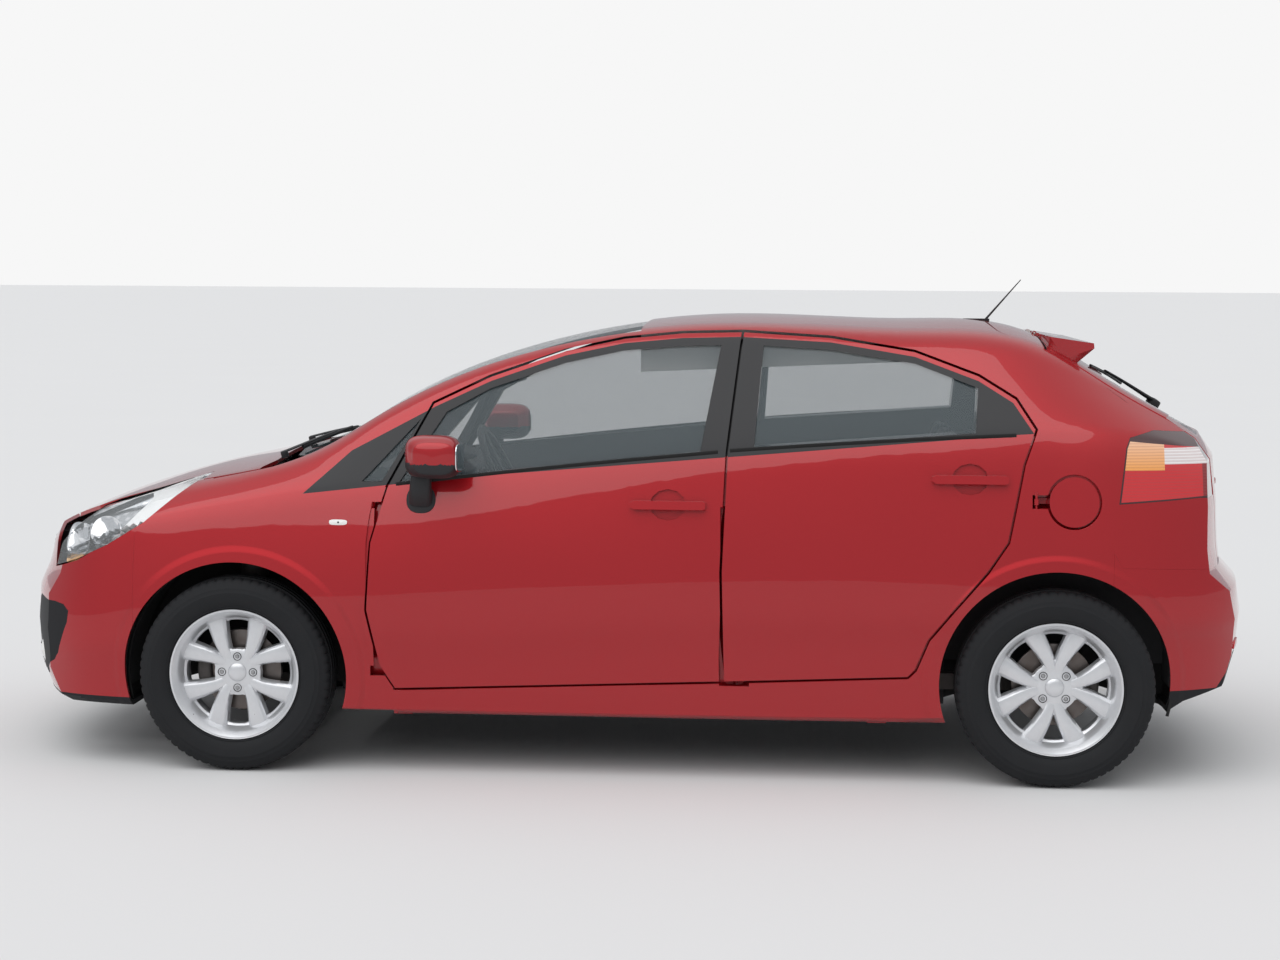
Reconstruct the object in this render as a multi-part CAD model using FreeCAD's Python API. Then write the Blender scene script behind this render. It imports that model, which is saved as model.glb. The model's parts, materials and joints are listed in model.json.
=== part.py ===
import FreeCAD, Part
import math
import os
from FreeCAD import Vector

# A five-door hatchback car in millimetres.
# +X is forward, +Y is the car's left, +Z is up, and the origin lies on the ground
# below the middle of the car. Left-hand pieces are modelled and mirrored to the right.

# Overall sizes
overall_length = 4045
front_axle_x = 1202.5
wheelbase = 2570
rear_axle_x = front_axle_x - wheelbase
half_track = 760
tyre_radius = 308
tyre_width = 186
hub_z = tyre_radius

# Panels
skin = 12
shut_gap = 8
flange_depth = 36
door_inset = 30
pillar_inset = 8
seat_fit = 0.3
glass_depth = 6
glass_thick = 4

# Wheel arches
arch_radius = 358
liner_radius = 372
liner_wall = 8

# Steering: the lower ball stands inside the wheel, behind the brake disc
steer_axis_y = 690
ball_pin_radius = 8
ball_boss_radius = 16

# Door hinges: each axis is upright, below the skin and behind the door's leading edge
hinge_depth = 28
hinge_set = 40
widest_y = 860
hinge_y = widest_y - hinge_depth
door_hinge_x = {"front": 775 - hinge_set, "rear": -332 - shut_gap / 2 - hinge_set}
hinge_heights = {"front": (440, 690), "rear": (470, 790)}
leading_edges = {"front": [(735, 313), (735, 345), (775, 524), (764, 733), (735, 837), (735, 860)],
                 "rear": [(-345, 300), (-336, 659), (-343.6, 860)]}
hinge_pin_radius = 5
hinge_eye_radius = 9
pin_play = 0.3
eye_half_height = 25
sweep_gap = 5

# Bonnet, tailgate and fuel flap hinge axes
bonnet_axis_x, bonnet_axis_z = 1150, 938
tailgate_axis_x, tailgate_axis_z = -1341, 1388
flap_axis_x, flap_axis_y = -1296, 835

# Body sections from nose to tail: heights and half widths of the corners of each section.
# The floor line, the sill, a side arc up to the crease, one over the flank to the belt,
# the side glass, a rounded cantrail and the crowned top follow each other.
section_columns = ("x", "floor_z", "sill_y", "sill_z", "crease_y", "crease_z", "flank_y", "flank_z",
                   "belt_y", "belt_z", "corner_y", "corner_z", "top_z", "round")
section_rows = [
    (2080, 200, 440, 215, 470, 330, 478, 470, 440, 600, 400, 645, 662, 30),
    (1900, 198, 640, 215, 660, 340, 662, 470, 612, 630, 545, 712, 748, 45),
    (1750, 196, 745, 215, 768, 350, 772, 480, 728, 700, 655, 788, 815, 50),
    (1550, 195, 800, 212, 824, 370, 830, 520, 786, 775, 706, 858, 884, 55),
    (1202, 192, 820, 210, 846, 400, 855, 560, 806, 850, 724, 936, 968, 60),
    (950, 190, 822, 208, 850, 405, 858, 590, 802, 896, 700, 1016, 1046, 60),
    (750, 190, 822, 206, 850, 405, 859, 600, 800, 914, 668, 1136, 1168, 60),
    (450, 190, 822, 205, 850, 410, 860, 620, 800, 945, 634, 1278, 1304, 65),
    (100, 190, 822, 205, 850, 435, 860, 640, 800, 982, 616, 1372, 1396, 70),
    (-350, 190, 822, 206, 850, 455, 860, 660, 800, 1032, 604, 1414, 1443, 75),
    (-900, 192, 822, 210, 850, 475, 860, 670, 797, 1076, 594, 1398, 1431, 75),
    (-1330, 200, 815, 230, 848, 480, 859, 670, 780, 1096, 582, 1352, 1390, 70),
    (-1560, 215, 795, 260, 832, 480, 847, 660, 756, 1088, 562, 1232, 1262, 50),
    (-1720, 235, 755, 275, 800, 480, 816, 650, 716, 1062, 566, 1146, 1166, 40),
    (-1880, 260, 670, 290, 726, 480, 742, 640, 650, 990, 560, 1058, 1072, 35),
    (-2080, 290, 480, 310, 520, 470, 540, 620, 470, 860, 420, 900, 912, 30),
]

# End profiles on the centre line (x, z), turned about upright axes for the curve in plan
nose_plan_radius = 1500
tail_plan_radius = 2600
nose_profile = [(1900, 150), (1935, 186), (1985, 215), (2014, 300), (2022.5, 430), (2016, 540),
                (1985, 610), (1966, 690), (1925, 762), (1880, 830)]
tail_profile = [(-1780, 190), (-1880, 262), (-1985, 300), (-2012, 400), (-2022.5, 520), (-2008, 610),
                (-1955, 668), (-1946, 740), (-1940, 870), (-1925, 1010), (-1880, 1075), (-1790, 1135)]

# Side-view outlines (x, z)
door_split = [(-386, 1394), (-346, 1029), (-332, 659), (-341, 315)]
front_door_outline = [(690, 274), (735, 345), (775, 524), (764, 733), (716, 905), (588, 1162),
                      (409, 1248), (175, 1330), (-11, 1370), (-196, 1389)]
rear_door_outline = [(-912, 340), (-934, 363), (-972, 458), (-1047, 551), (-1148, 671), (-1210, 764),
                     (-1256, 1000), (-1294, 1106), (-1236, 1196), (-1123, 1265), (-926, 1337), (-664, 1378)]
front_window = [(684, 915), (545, 1138), (409, 1212), (175, 1293), (-11, 1334), (-196, 1351), (-319, 1354),
                (-262, 1022), (433, 950)]
rear_window = [(-429, 1042), (-452, 1354), (-664, 1342), (-926, 1302), (-1121, 1230), (-1112, 1094)]
quarter_window = [(800, 922), (737, 922), (626, 1116)]
fuel_flap_centre = (-1412, 889)
fuel_flap_radius = 76

# Jacking pads under the sills
jack_x = (670, -820)
jack_y = 775
jack_z = 186

# Cabin hollow: side view (x, z), half plan (x, y) and half cross-section (y, z)
floor_top = 245
boot_floor = 470
cabin_side = [(890, floor_top), (950, 560), (950, 880), (905, 985), (750, 1118), (450, 1258), (100, 1354),
              (-350, 1403), (-900, 1391), (-1330, 1346), (-1460, 1280), (-1640, 1150), (-1800, 1040), (-1850, 940),
              (-1860, boot_floor), (-1040, boot_floor), (-1000, floor_top)]
cabin_plan = [(1000, 655), (700, 690), (300, 745), (-1300, 745), (-1600, 700), (-1900, 610)]
cabin_cross = [(745, 200), (745, 880), (705, 1000), (598, 1200), (500, 1410)]


def vec(x, y, z):
    return Vector(x, y, z)


def box(x0, x1, y0, y1, z0, z1):
    return Part.makeBox(x1 - x0, y1 - y0, z1 - z0, vec(x0, y0, z0))


def side_prism(points, y0=0, y1=1000):
    corners = [vec(x, y0, z) for x, z in points]
    return Part.Face(Part.makePolygon(corners + corners[:1])).extrude(vec(0, y1 - y0, 0))


def plan_prism(points, z0=0, z1=2000):
    corners = [vec(x, y, z0) for x, y in points]
    return Part.Face(Part.makePolygon(corners + corners[:1])).extrude(vec(0, 0, z1 - z0))


def cross_prism(points, x0, x1):
    corners = [vec(x0, y, z) for y, z in points]
    return Part.Face(Part.makePolygon(corners + corners[:1])).extrude(vec(x1 - x0, 0, 0))


def both_sides(half):
    return half + [(x, -y) for x, y in reversed(half)]


def both_cross(half):
    return half + [(-y, z) for y, z in reversed(half)]


def mirrored(shape):
    return shape.mirror(vec(0, 0, 0), vec(0, 1, 0))


def grown(points, distance):
    """A closed outline with its edges moved outwards by a distance, or inwards if it is negative.
    A sharp outer corner gets a short edge across it, as far from the corner as the other edges."""
    area = sum(a[0] * b[1] - b[0] * a[1] for a, b in zip(points, points[1:] + points[:1]))
    hand = 1 if area > 0 else -1
    result = []
    count = len(points)
    for i in range(count):
        (x0, z0), (x1, z1), (x2, z2) = points[i - 1], points[i], points[(i + 1) % count]
        a = math.hypot(x1 - x0, z1 - z0)
        b = math.hypot(x2 - x1, z2 - z1)
        before = ((x1 - x0) / a, (z1 - z0) / a)
        after = ((x2 - x1) / b, (z2 - z1) / b)
        turn = hand * math.atan2(before[0] * after[1] - before[1] * after[0],
                                 before[0] * after[0] + before[1] * after[1])
        if distance > 0 and turn > math.radians(100):
            along = distance * math.tan(turn / 4)
            for way, sign in ((before, 1), (after, -1)):
                result.append((x1 + hand * way[1] * distance + sign * way[0] * along,
                               z1 - hand * way[0] * distance + sign * way[1] * along))
            continue
        nx = hand * (before[1] + after[1])
        nz = -hand * (before[0] + after[0])
        scale = 2 * distance / max(nx * nx + nz * nz, 0.8)
        result.append((x1 + nx * scale, z1 + nz * scale))
    return result


def cylinder_y(x, z, radius, y0, y1):
    return Part.makeCylinder(radius, y1 - y0, vec(x, y0, z), vec(0, 1, 0))


def cylinder_x(y, z, radius, x0, x1):
    return Part.makeCylinder(radius, x1 - x0, vec(x0, y, z), vec(1, 0, 0))


def cylinder_z(x, y, radius, z0, z1):
    return Part.makeCylinder(radius, z1 - z0, vec(x, y, z0), vec(0, 0, 1))


def single(shape):
    """The largest solid of a cut."""
    return max(shape.Solids, key=lambda s: s.Volume)


def inset_chain(points, d):
    """An open outline of (y, z) points moved inwards by d, with mitred corners."""
    normals = []
    for (y0, z0), (y1, z1) in zip(points, points[1:]):
        length = math.hypot(y1 - y0, z1 - z0)
        normals.append((-(z1 - z0) / length, (y1 - y0) / length))
    before = normals[:1] + normals
    after = normals + normals[-1:]
    moved = []
    for (y, z), a, b in zip(points, before, after):
        m = (a[0] + b[0], a[1] + b[1])
        scale = 2 * d / (m[0] ** 2 + m[1] ** 2)
        moved.append((y + m[0] * scale, z + m[1] * scale))
    return moved


def body_section(row, d):
    """One closed section of the body, every surface moved inwards by d."""
    s = dict(zip(section_columns, row))
    chain = inset_chain([(s["sill_y"] - 22, s["floor_z"]), (s["sill_y"], s["sill_z"]), (s["crease_y"], s["crease_z"]),
                         (s["flank_y"], s["flank_z"]), (s["belt_y"], s["belt_z"]), (s["corner_y"], s["corner_z"])], d)
    under, sill, crease, flank, belt, corner = chain
    under = (under[0], s["floor_z"] + d)
    top = s["top_z"] - d
    drop = s["top_z"] - s["corner_z"]
    corner_z = s["corner_z"] - d
    corner_y = belt[0] + (corner[0] - belt[0]) * (corner_z - belt[1]) / (corner[1] - belt[1])
    cut = s["round"] * max(0.4, 1 - d / 160)
    crown = (corner_y ** 2 + drop ** 2) / (2 * drop)
    side = (corner_y - belt[0], corner_z - belt[1])
    length = math.hypot(*side)
    side = (side[0] / length, side[1] / length)
    low = (corner_y - side[0] * cut, corner_z - side[1] * cut)
    high_y = corner_y - cut * math.cos(math.asin(corner_y / crown))
    high = (high_y, top - crown + math.sqrt(crown ** 2 - high_y ** 2))
    slope = -high_y / math.sqrt(crown ** 2 - high_y ** 2)
    bulge = 0.018 * length
    glass_mid = ((belt[0] + low[0]) / 2 + side[1] * bulge, (belt[1] + low[1]) / 2 - side[0] * bulge)
    turn = 2 * math.atan(2 * bulge / (length - cut))
    up = (side[0] * math.cos(turn) - side[1] * math.sin(turn), side[0] * math.sin(turn) + side[1] * math.cos(turn))
    over = (-1 / math.hypot(1, slope), -slope / math.hypot(1, slope))
    det = -up[0] * over[1] + up[1] * over[0]
    along = (-(high[0] - low[0]) * over[1] + (high[1] - low[1]) * over[0]) / det
    apex = (low[0] + up[0] * along, low[1] + up[1] * along)
    half_turn = math.acos(max(-1, min(1, up[0] * over[0] + up[1] * over[1]))) / 2
    share = math.cos(half_turn) / (1 + math.cos(half_turn))
    chord = ((low[0] + high[0]) / 2, (low[1] + high[1]) / 2)
    round_mid = (chord[0] + (apex[0] - chord[0]) * share, chord[1] + (apex[1] - chord[1]) * share)
    sill_mid = ((sill[0] + crease[0]) / 2 - 3, (sill[1] + crease[1]) / 2)
    arcs = [(sill, sill_mid, crease), (crease, flank, belt), (belt, glass_mid, low), (low, round_mid, high)]

    def at(point, hand):
        return vec(s["x"], hand * point[0], point[1])

    edges = [Part.makeLine(at(under, -1), at(under, 1)), Part.makeLine(at(under, 1), at(sill, 1))]
    edges += [Part.Arc(at(a, 1), at(m, 1), at(b, 1)).toShape() for a, m, b in arcs]
    edges.append(Part.Arc(at(high, 1), vec(s["x"], 0, top), at(high, -1)).toShape())
    edges += [Part.Arc(at(b, -1), at(m, -1), at(a, -1)).toShape() for a, m, b in reversed(arcs)]
    edges.append(Part.makeLine(at(sill, -1), at(under, -1)))
    return Part.Wire(edges)


def beyond_end(profile, hand, plan_radius, d):
    """All that lies beyond the nose or the tail, whose profile is turned about an upright axis."""
    points = [vec(x - hand * d, 0, z) for x, z in profile]
    far = hand * 2500
    points += [vec(points[-1].x, 0, 1700), vec(far, 0, 1700), vec(far, 0, 0), vec(points[0].x, 0, 0)]
    face = Part.Face(Part.makePolygon(points + points[:1]))
    axis = vec(hand * (overall_length / 2 - plan_radius), 0, 0)
    face.rotate(axis, vec(0, 0, 1), -45)
    return face.revolve(axis, vec(0, 0, 1), 90)


form_cache = {}


def form(d):
    """The car's closed outer form, inset by d."""
    if d not in form_cache:
        solid = Part.makeLoft([body_section(row, d) for row in section_rows], True, False)
        solid = solid.cut(beyond_end(nose_profile, 1, nose_plan_radius, d))
        form_cache[d] = single(solid.cut(beyond_end(tail_profile, -1, tail_plan_radius, d)))
    return form_cache[d]


def left_form(d):
    key = ("left", d)
    if key not in form_cache:
        form_cache[key] = form(d).common(box(-2300, 2300, 0, 1000, 0, 1800))
    return form_cache[key]


def layer(outer, inner, region, left=False):
    """The part of the wall between two insets that lies in a region."""
    pick = left_form if left else form
    return pick(outer).common(region).cut(pick(inner))



cabin_walls = plan_prism(both_sides(cabin_plan)).common(cross_prism(both_cross(cabin_cross), -2000, 1200))
cabin = side_prism(cabin_side, -900, 900).common(cabin_walls)

# Half plan lines (x, y) and half rear-view lines (y, z)
side_line = [(1110, 690), (950, 662), (750, 633), (450, 598), (100, 578), (-60, 568), (-1345, 540)]
roof_front_x = -60
roof_rear_x = -1337
tailgate_front_x = roof_rear_x - shut_gap
tailgate_half = [(540, 690), (566, 900), (598, 1060), (572, 1180), (545, 1300), (530, 1420)]
tailgate_window = [(500, 1075), (455, 1262)]
bonnet_half = [(1880, 1), (1862, 300), (1800, 480), (1700, 590), (1550, 646), (1300, 674), (1150, 682), (1120, 560),
               (1128, 1)]
screen_half = [(1100, 200), (1060, 520), (985, 660), (950, 662), (750, 633), (450, 598), (100, 578), (-60, 568)]
bumper_seam_x = 1527
bumper_top = [(bumper_seam_x, 772), (1724, 655), (1830, 620), (1850, 690), (1905, 742), (2100, 742)]
grille_openings = [(430, 250, 345), (330, 640, 700)]
fog_recess_y = 560
fog_recess_z = 330
fog_recess_radius = 58
headlamp_outline = [(1346, 913), (1618, 832), (1678, 808), (1747, 759), (1807, 702), (1824, 627),
                    (1724, 661), (1620, 709), (1499, 783), (1408, 863)]
tail_lamp_outline = [(-1585, 1084), (-1664, 1104), (-1775, 1096), (-1840, 1054), (-1990, 1040), (-1990, 890),
                     (-1802, 900), (-1548, 883), (-1572, 1052)]
wing_outline = [(682, 150), (696, 274), (741, 345), (781, 524), (770, 733), (722, 905), (820, 912), (930, 978), (1000, 1080),
                (1350, 1060), (1900, 900), (bumper_seam_x - seat_fit, 772), (bumper_seam_x - seat_fit, 150)]
rear_bumper_outline = [(-1535, 735), (-1560, 690), (-1832, 682), (-1900, 668), (-2100, 668), (-2100, 100),
                       (-1535, 100)]

parts = {}
front_door_full = front_door_outline + [(x + shut_gap / 2, z) for x, z in door_split]
rear_door_full = rear_door_outline + [(x - shut_gap / 2, z) for x, z in door_split]


def swing(end):
    """The room that a door's leading edge sweeps about its hinge axis."""
    x = door_hinge_x[end]
    rings = [(math.hypot(max(edge - x, 0), hinge_depth) + sweep_gap, z) for edge, z in leading_edges[end]]
    corners = [vec(x, hinge_y, rings[0][1])] + [vec(x + r, hinge_y, z) for r, z in rings]
    corners.append(vec(x, hinge_y, rings[-1][1]))
    return Part.Face(Part.makePolygon(corners + corners[:1])).revolve(vec(x, hinge_y, 0), vec(0, 0, 1), 360)


def hinged(door, end):
    """A door with a notch round each hinge, and the pin across it."""
    x = door_hinge_x[end]
    reach = eye_half_height + sweep_gap
    for z in hinge_heights[end]:
        door = door.cut([cylinder_z(x, hinge_y, hinge_eye_radius + 3, z - reach, z + reach),
                         box(x - 11, x + 10, hinge_y - 65, hinge_y + 8, z - reach, z + reach)])
        door = door.fuse([box(x - 30, x + 9, hinge_y - 9, hinge_y + 10, z + reach, z + reach + 12),
                          box(x - 30, x + 9, hinge_y - 9, hinge_y + 10, z - reach - 12, z - reach),
                          cylinder_z(x, hinge_y, hinge_pin_radius, z - reach - 10, z + reach + 10)])
    return single(door)


def hinge_arms(end, length):
    """The gooseneck arms that carry a door's pins, from the pillar round to the axis."""
    x = door_hinge_x[end]
    arms = []
    for z in hinge_heights[end]:
        low, high = z - eye_half_height, z + eye_half_height
        arm = box(x - 6, x + 6, hinge_y - 57, hinge_y, low, high).fuse([
            box(x - 6, x + length, hinge_y - 57, hinge_y - 45, low, high),
            cylinder_z(x, hinge_y, hinge_eye_radius, low, high)])
        arms.append(arm.cut(cylinder_z(x, hinge_y, hinge_pin_radius + pin_play, low, high)))
    return arms


door_top_line = plan_prism(both_sides([(1300, 696)] + [(x, y + shut_gap + 4) for x, y in side_line]))


def door(outline, window):
    rim = side_prism(grown(outline, 2)).cut(side_prism(grown(outline, -door_inset))).common(left_form(skin))
    slab = left_form(0).common(side_prism(outline))
    return single(slab.cut([cabin, rim, side_prism(window), door_top_line]))


def side_glass(window):
    return single(layer(glass_depth, glass_depth + glass_thick, side_prism(grown(window, -seat_fit), 400), True))


moved = {}
for reach in (6, 22):
    moved[reach] = left_form(0).copy()
    moved[reach].translate(vec(0, reach, 0))


def handle(x0, x1, z):
    """A pull bar that stands off the door on a leg at each end."""
    bar = side_prism([(x0, z - 9), (x0 + 8, z - 13), (x1 - 12, z - 13), (x1, z - 5), (x1, z + 7), (x1 - 12, z + 13),
                      (x0 + 8, z + 13), (x0, z + 9)], 600)
    legs = side_prism([(x0, z - 9), (x0 + 34, z - 9), (x0 + 34, z + 9), (x0, z + 9)], 600).fuse(
        side_prism([(x1 - 46, z - 9), (x1, z - 5), (x1, z + 7), (x1 - 46, z + 9)], 600))
    return [bar.common(moved[22]).cut(moved[6]), legs.common(moved[22]).cut(left_form(glass_depth))]


def cup(x, z):
    """The hollow behind a handle, where the fingers go in."""
    ring = [(x + 56 * math.cos(a), z + 48 * math.sin(a)) for a in [math.radians(30 * i) for i in range(12)]]
    return layer(0, skin, side_prism(ring, 600), True)


parts["door_front_left"] = hinged(door(front_door_full, front_window).cut(swing("rear")), "front")
parts["door_rear_left"] = hinged(door(rear_door_full, rear_window), "rear")
for end, x0, x1, z in (("front", -283, -48, 865), ("rear", -1211, -977, 955)):
    node = "door_%s_left" % end
    parts[node] = single(parts[node].cut(cup((x0 + x1) / 2, z)).fuse(handle(x0, x1, z)))
parts["door_glass_front_left"] = side_glass(front_window)
parts["door_glass_rear_left"] = side_glass(rear_window)
parts["quarter_glass_left"] = side_glass(quarter_window)

# Body sides
centre_zone = plan_prism(both_sides([(1300, 690)] + side_line))
recess = side_prism(grown(front_door_full, shut_gap)).fuse([side_prism(grown(rear_door_full, shut_gap)),
                                                            side_prism(wing_outline)]).cut(left_form(flange_depth))
side = left_form(0).common(box(-1990, 1000, 0, 1000, 0, 1800))
side = side.cut([cabin, centre_zone, box(-2100, 1000, -10, 745, 0, floor_top),
                 cabin_walls.common(box(300, 1200, -10, 900, 0, 985)),
                 side_prism(grown(front_door_full, -pillar_inset)), side_prism(grown(rear_door_full, -pillar_inset)),
                 cross_prism(both_cross(grown(tailgate_half + [(-10, 1420), (-10, 690)], shut_gap + 2)[:6]), -2200,
                             tailgate_front_x + shut_gap),
                 side_prism(grown(rear_bumper_outline, seat_fit)), box(-2100, -1345, -10, 548, 0, 720), side_prism(tail_lamp_outline, 560),
                 cylinder_y(rear_axle_x, hub_z + 10, liner_radius + liner_wall, 400, 745),
                 cylinder_y(rear_axle_x, hub_z + 10, arch_radius, 500, 1000),
                 cylinder_y(front_axle_x, hub_z, liner_radius + liner_wall, 400, 1000),
                 cylinder_y(fuel_flap_centre[0], fuel_flap_centre[1], fuel_flap_radius + shut_gap, 805, 1000),
                 side_prism(quarter_window, 400)])
for tool in (recess, swing("front"), swing("rear")):
    side = side.cut(tool)
side = single(side).fuse(hinge_arms("front", 60) + hinge_arms("rear", 45))
flap_low, flap_high = fuel_flap_centre[1] - 9, fuel_flap_centre[1] + 9
pocket = cylinder_z(flap_axis_x, flap_axis_y, 76, flap_low - 12, flap_high + 12)
side = side.cut(pocket.common(box(flap_axis_x - 80, flap_axis_x + 12, flap_axis_y - 57, flap_axis_y + 12, 800, 1000)))
side = side.fuse(cylinder_z(flap_axis_x, flap_axis_y, 4, flap_low - 20, flap_high + 20))
for x in jack_x:
    side = side.fuse(box(x - 30, x + 30, jack_y - 15, jack_y + 15, jack_z, 200))
parts["body_side_left"] = single(side)
flap = layer(0, glass_depth, cylinder_y(fuel_flap_centre[0], fuel_flap_centre[1], fuel_flap_radius, 700, 1000), True)
neck = box(flap_axis_x - 50, flap_axis_x - 42, flap_axis_y - 50, flap_axis_y + 40, flap_low, flap_high)
neck = neck.common(left_form(0)).fuse([
    box(flap_axis_x - 50, flap_axis_x + 6, flap_axis_y - 50, flap_axis_y - 42, flap_low, flap_high),
    box(flap_axis_x - 6, flap_axis_x + 6, flap_axis_y - 50, flap_axis_y, flap_low, flap_high),
    cylinder_z(flap_axis_x, flap_axis_y, 7.5, flap_low, flap_high)])
parts["fuel_flap"] = single(single(flap).fuse(neck).cut(cylinder_z(flap_axis_x, flap_axis_y, 4 + pin_play, flap_low, flap_high)))

# Wings and lamps
wing = left_form(0).common(side_prism(wing_outline).cut(swing("front"))).cut(left_form(skin))
for tool in (plan_prism(both_sides(grown(bonnet_half, shut_gap)), 500), centre_zone,
             side_prism(grown(headlamp_outline, seat_fit), 400),
             cylinder_y(front_axle_x, hub_z, arch_radius, 300, 1000), box(600, 2000, -10, 815, 0, 300)):
    wing = wing.cut(tool)
parts["wing_left"] = single(wing)
parts["headlamp_left"] = single(layer(0, flange_depth, side_prism(headlamp_outline, 420), True))
parts["tail_lamp_left"] = single(layer(0, flange_depth, side_prism(grown(tail_lamp_outline, -seat_fit), 612), True))

# Bonnet, bumpers and tailgate
lamp = side_prism(grown(headlamp_outline, shut_gap), 380)
bonnet = form(0).common(plan_prism(both_sides(bonnet_half), 620)).cut([form(skin), lamp, mirrored(lamp)])
bonnet = single(bonnet)
for hand in (1, -1):
    lug = box(bonnet_axis_x - 15, bonnet_axis_x + 15, *sorted((hand * 559, hand * 571)), bonnet_axis_z - 9, 1000)
    pin = cylinder_y(bonnet_axis_x, bonnet_axis_z, hinge_pin_radius, *sorted((hand * 543, hand * 571)))
    bonnet = bonnet.fuse([lug.common(form(glass_depth)), pin])
parts["bonnet"] = single(bonnet)
lamp = side_prism(grown(headlamp_outline, seat_fit), 380)
arch = cylinder_y(front_axle_x, hub_z, arch_radius, 300, 1000)
bumper_region = side_prism([(bumper_seam_x, 100)] + bumper_top + [(2100, 100)], -1000, 1000)
bumper = form(0).common(bumper_region).cut([
    form(skin), plan_prism(both_sides(grown(bonnet_half, shut_gap)), 682), lamp, mirrored(lamp), arch, mirrored(arch),
    box(1500, 1800, -500, 500, 0, 230)] + [box(1880, 2100, -half, half, z0, z1) for half, z0, z1 in grille_openings])
for y in (-fog_recess_y, fog_recess_y):
    bumper = bumper.cut(cylinder_x(y, fog_recess_z, fog_recess_radius, 1600, 2100).cut(form(glass_depth)))
parts["front_bumper"] = single(bumper)
grilles = [single(layer(glass_depth, flange_depth, box(1880, 2100, seat_fit - half, half - seat_fit, z0 + seat_fit, z1 - seat_fit)))
           for half, z0, z1 in grille_openings]
parts["front_grille"] = Part.makeCompound(grilles)
arch = cylinder_y(rear_axle_x, hub_z + 10, arch_radius, 300, 1000)
rear_bumper = form(0).common(side_prism(rear_bumper_outline, -1000, 1000)).cut([
    form(skin), arch, mirrored(arch), box(-1900, -1500, -500, 500, 0, 330)])
parts["rear_bumper"] = single(rear_bumper)
gate = form(0).common(cross_prism(both_cross(tailgate_half), -2200, tailgate_front_x))
gate_window = cross_prism(both_cross(tailgate_window), -2200, tailgate_front_x - 40)
inner_gate = cross_prism(both_cross([(y - 25, z) for y, z in tailgate_half]), -2200, tailgate_front_x - 25)
rim = cross_prism(both_cross([(y + 5, z) for y, z in tailgate_half]), -2200, tailgate_front_x + 5).cut(inner_gate)
gate = single(gate.cut([form(flange_depth), gate_window, rim.common(form(skin))]))


def tail_knuckle(panel, y0, y1, x0, x1, drop):
    """A tailgate hinge half: its panel cleared round the axis, then the eye and its arm."""
    panel = panel.cut([cylinder_y(tailgate_axis_x, tailgate_axis_z, 10, *sorted((hand * 98, hand * 142))) for hand in (1, -1)])
    for hand in (1, -1):
        ends = sorted((hand * y0, hand * y1))
        panel = panel.fuse([cylinder_y(tailgate_axis_x, tailgate_axis_z, 7, *ends),
                            box(x0, x1, *ends, tailgate_axis_z - drop, tailgate_axis_z)])
    return panel


gate = tail_knuckle(gate, 122, 140, tailgate_axis_x - 15, tailgate_axis_x, 20)
gate = gate.cut([cylinder_y(tailgate_axis_x, tailgate_axis_z, 3.5 + pin_play, *sorted((hand * 98, hand * 142))) for hand in (1, -1)])
parts["tailgate"] = single(gate)
small_window = [(y - seat_fit, z) for y, z in tailgate_window]
parts["tailgate_glass"] = single(layer(glass_depth, glass_depth + glass_thick,
                                       cross_prism(both_cross(small_window), -2200, tailgate_front_x - 40)))

# Roof and windscreen
roof_edge = 540 + (568 - 540) * (roof_rear_x + 1345) / 1285
roof_zone = plan_prism(both_sides([(roof_front_x, 568), (roof_rear_x, roof_edge)]), 1150)
roof = tail_knuckle(single(form(0).common(roof_zone).cut(cabin)), 100, 118, tailgate_axis_x, tailgate_axis_x + 15, 7)
roof = roof.fuse([cylinder_y(tailgate_axis_x, tailgate_axis_z, 3.5, *sorted((hand * 100, hand * 140))) for hand in (1, -1)])
parts["roof"] = single(roof)
screen_zone = plan_prism(both_sides([(x, y - seat_fit) for x, y in screen_half]), 800)
parts["windscreen"] = single(layer(glass_depth, glass_depth + glass_thick, screen_zone))

# Unitary shell: floor, boot floor, firewall, inner wings, wheelhouses, rails and cross beams
def front_house(radius0, radius1, y0, y1):
    ring = cylinder_y(front_axle_x, hub_z, radius1, y0, y1).cut(cylinder_y(front_axle_x, hub_z, radius0, y0, y1))
    return ring.common(box(0, 2000, 0, 1000, hub_z - 60, 1000))


firewall = side_prism([(890, 205), (890, 245), (950, 560), (950, 880), (905, 985), (940, 985), (985, 880), (985, 560),
                       (925, 205)], -900, 900).common(cabin_walls)
cowl = plan_prism(both_sides([(1080, 1), (1080, 640), (940, 650), (940, 1)]), 860, 1100).common(form(flange_depth))
gutter = box(1079, 1116, -540, 540, 860, bonnet_axis_z - 14)
floor_half = [(925, 1), (925, 462), (815, 462), (815, 745), (-1000, 745), (-1000, 1)]
boot_half = [(-1860, 1), (-1860, 560), (-1755, 640), (-1755, 536), (-1040, 536), (-1040, 1)]
slam_half = [(1870, 1), (1852, 290), (1790, 450), (1750, 450), (1750, 1)]
middle = [firewall, plan_prism(both_sides(floor_half), 205, floor_top), box(-1040, -1000, -536, 536, 205, boot_floor)]
front = [cowl, gutter, box(1838, 1868, -560, 560, 330, 430), plan_prism(both_sides(slam_half), 650, 700)]
rear = [plan_prism(both_sides(boot_half), 430, boot_floor), box(-1872, -1850, -540, 540, 330, 640)]
tower = [box(1110, 1290, 470, 690, hub_z + liner_radius + 2, 760).common(left_form(flange_depth)),
         box(1110, 1290, 690, 730, 700, 1000).common(left_form(skin)), box(1140, 1265, 490, 600, 670, 690)]
post = box(bonnet_axis_x - 9, bonnet_axis_x + 9, 545, 557, 680, bonnet_axis_z).fuse(
    cylinder_y(bonnet_axis_x, bonnet_axis_z, hinge_eye_radius, 545, 557))
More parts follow.
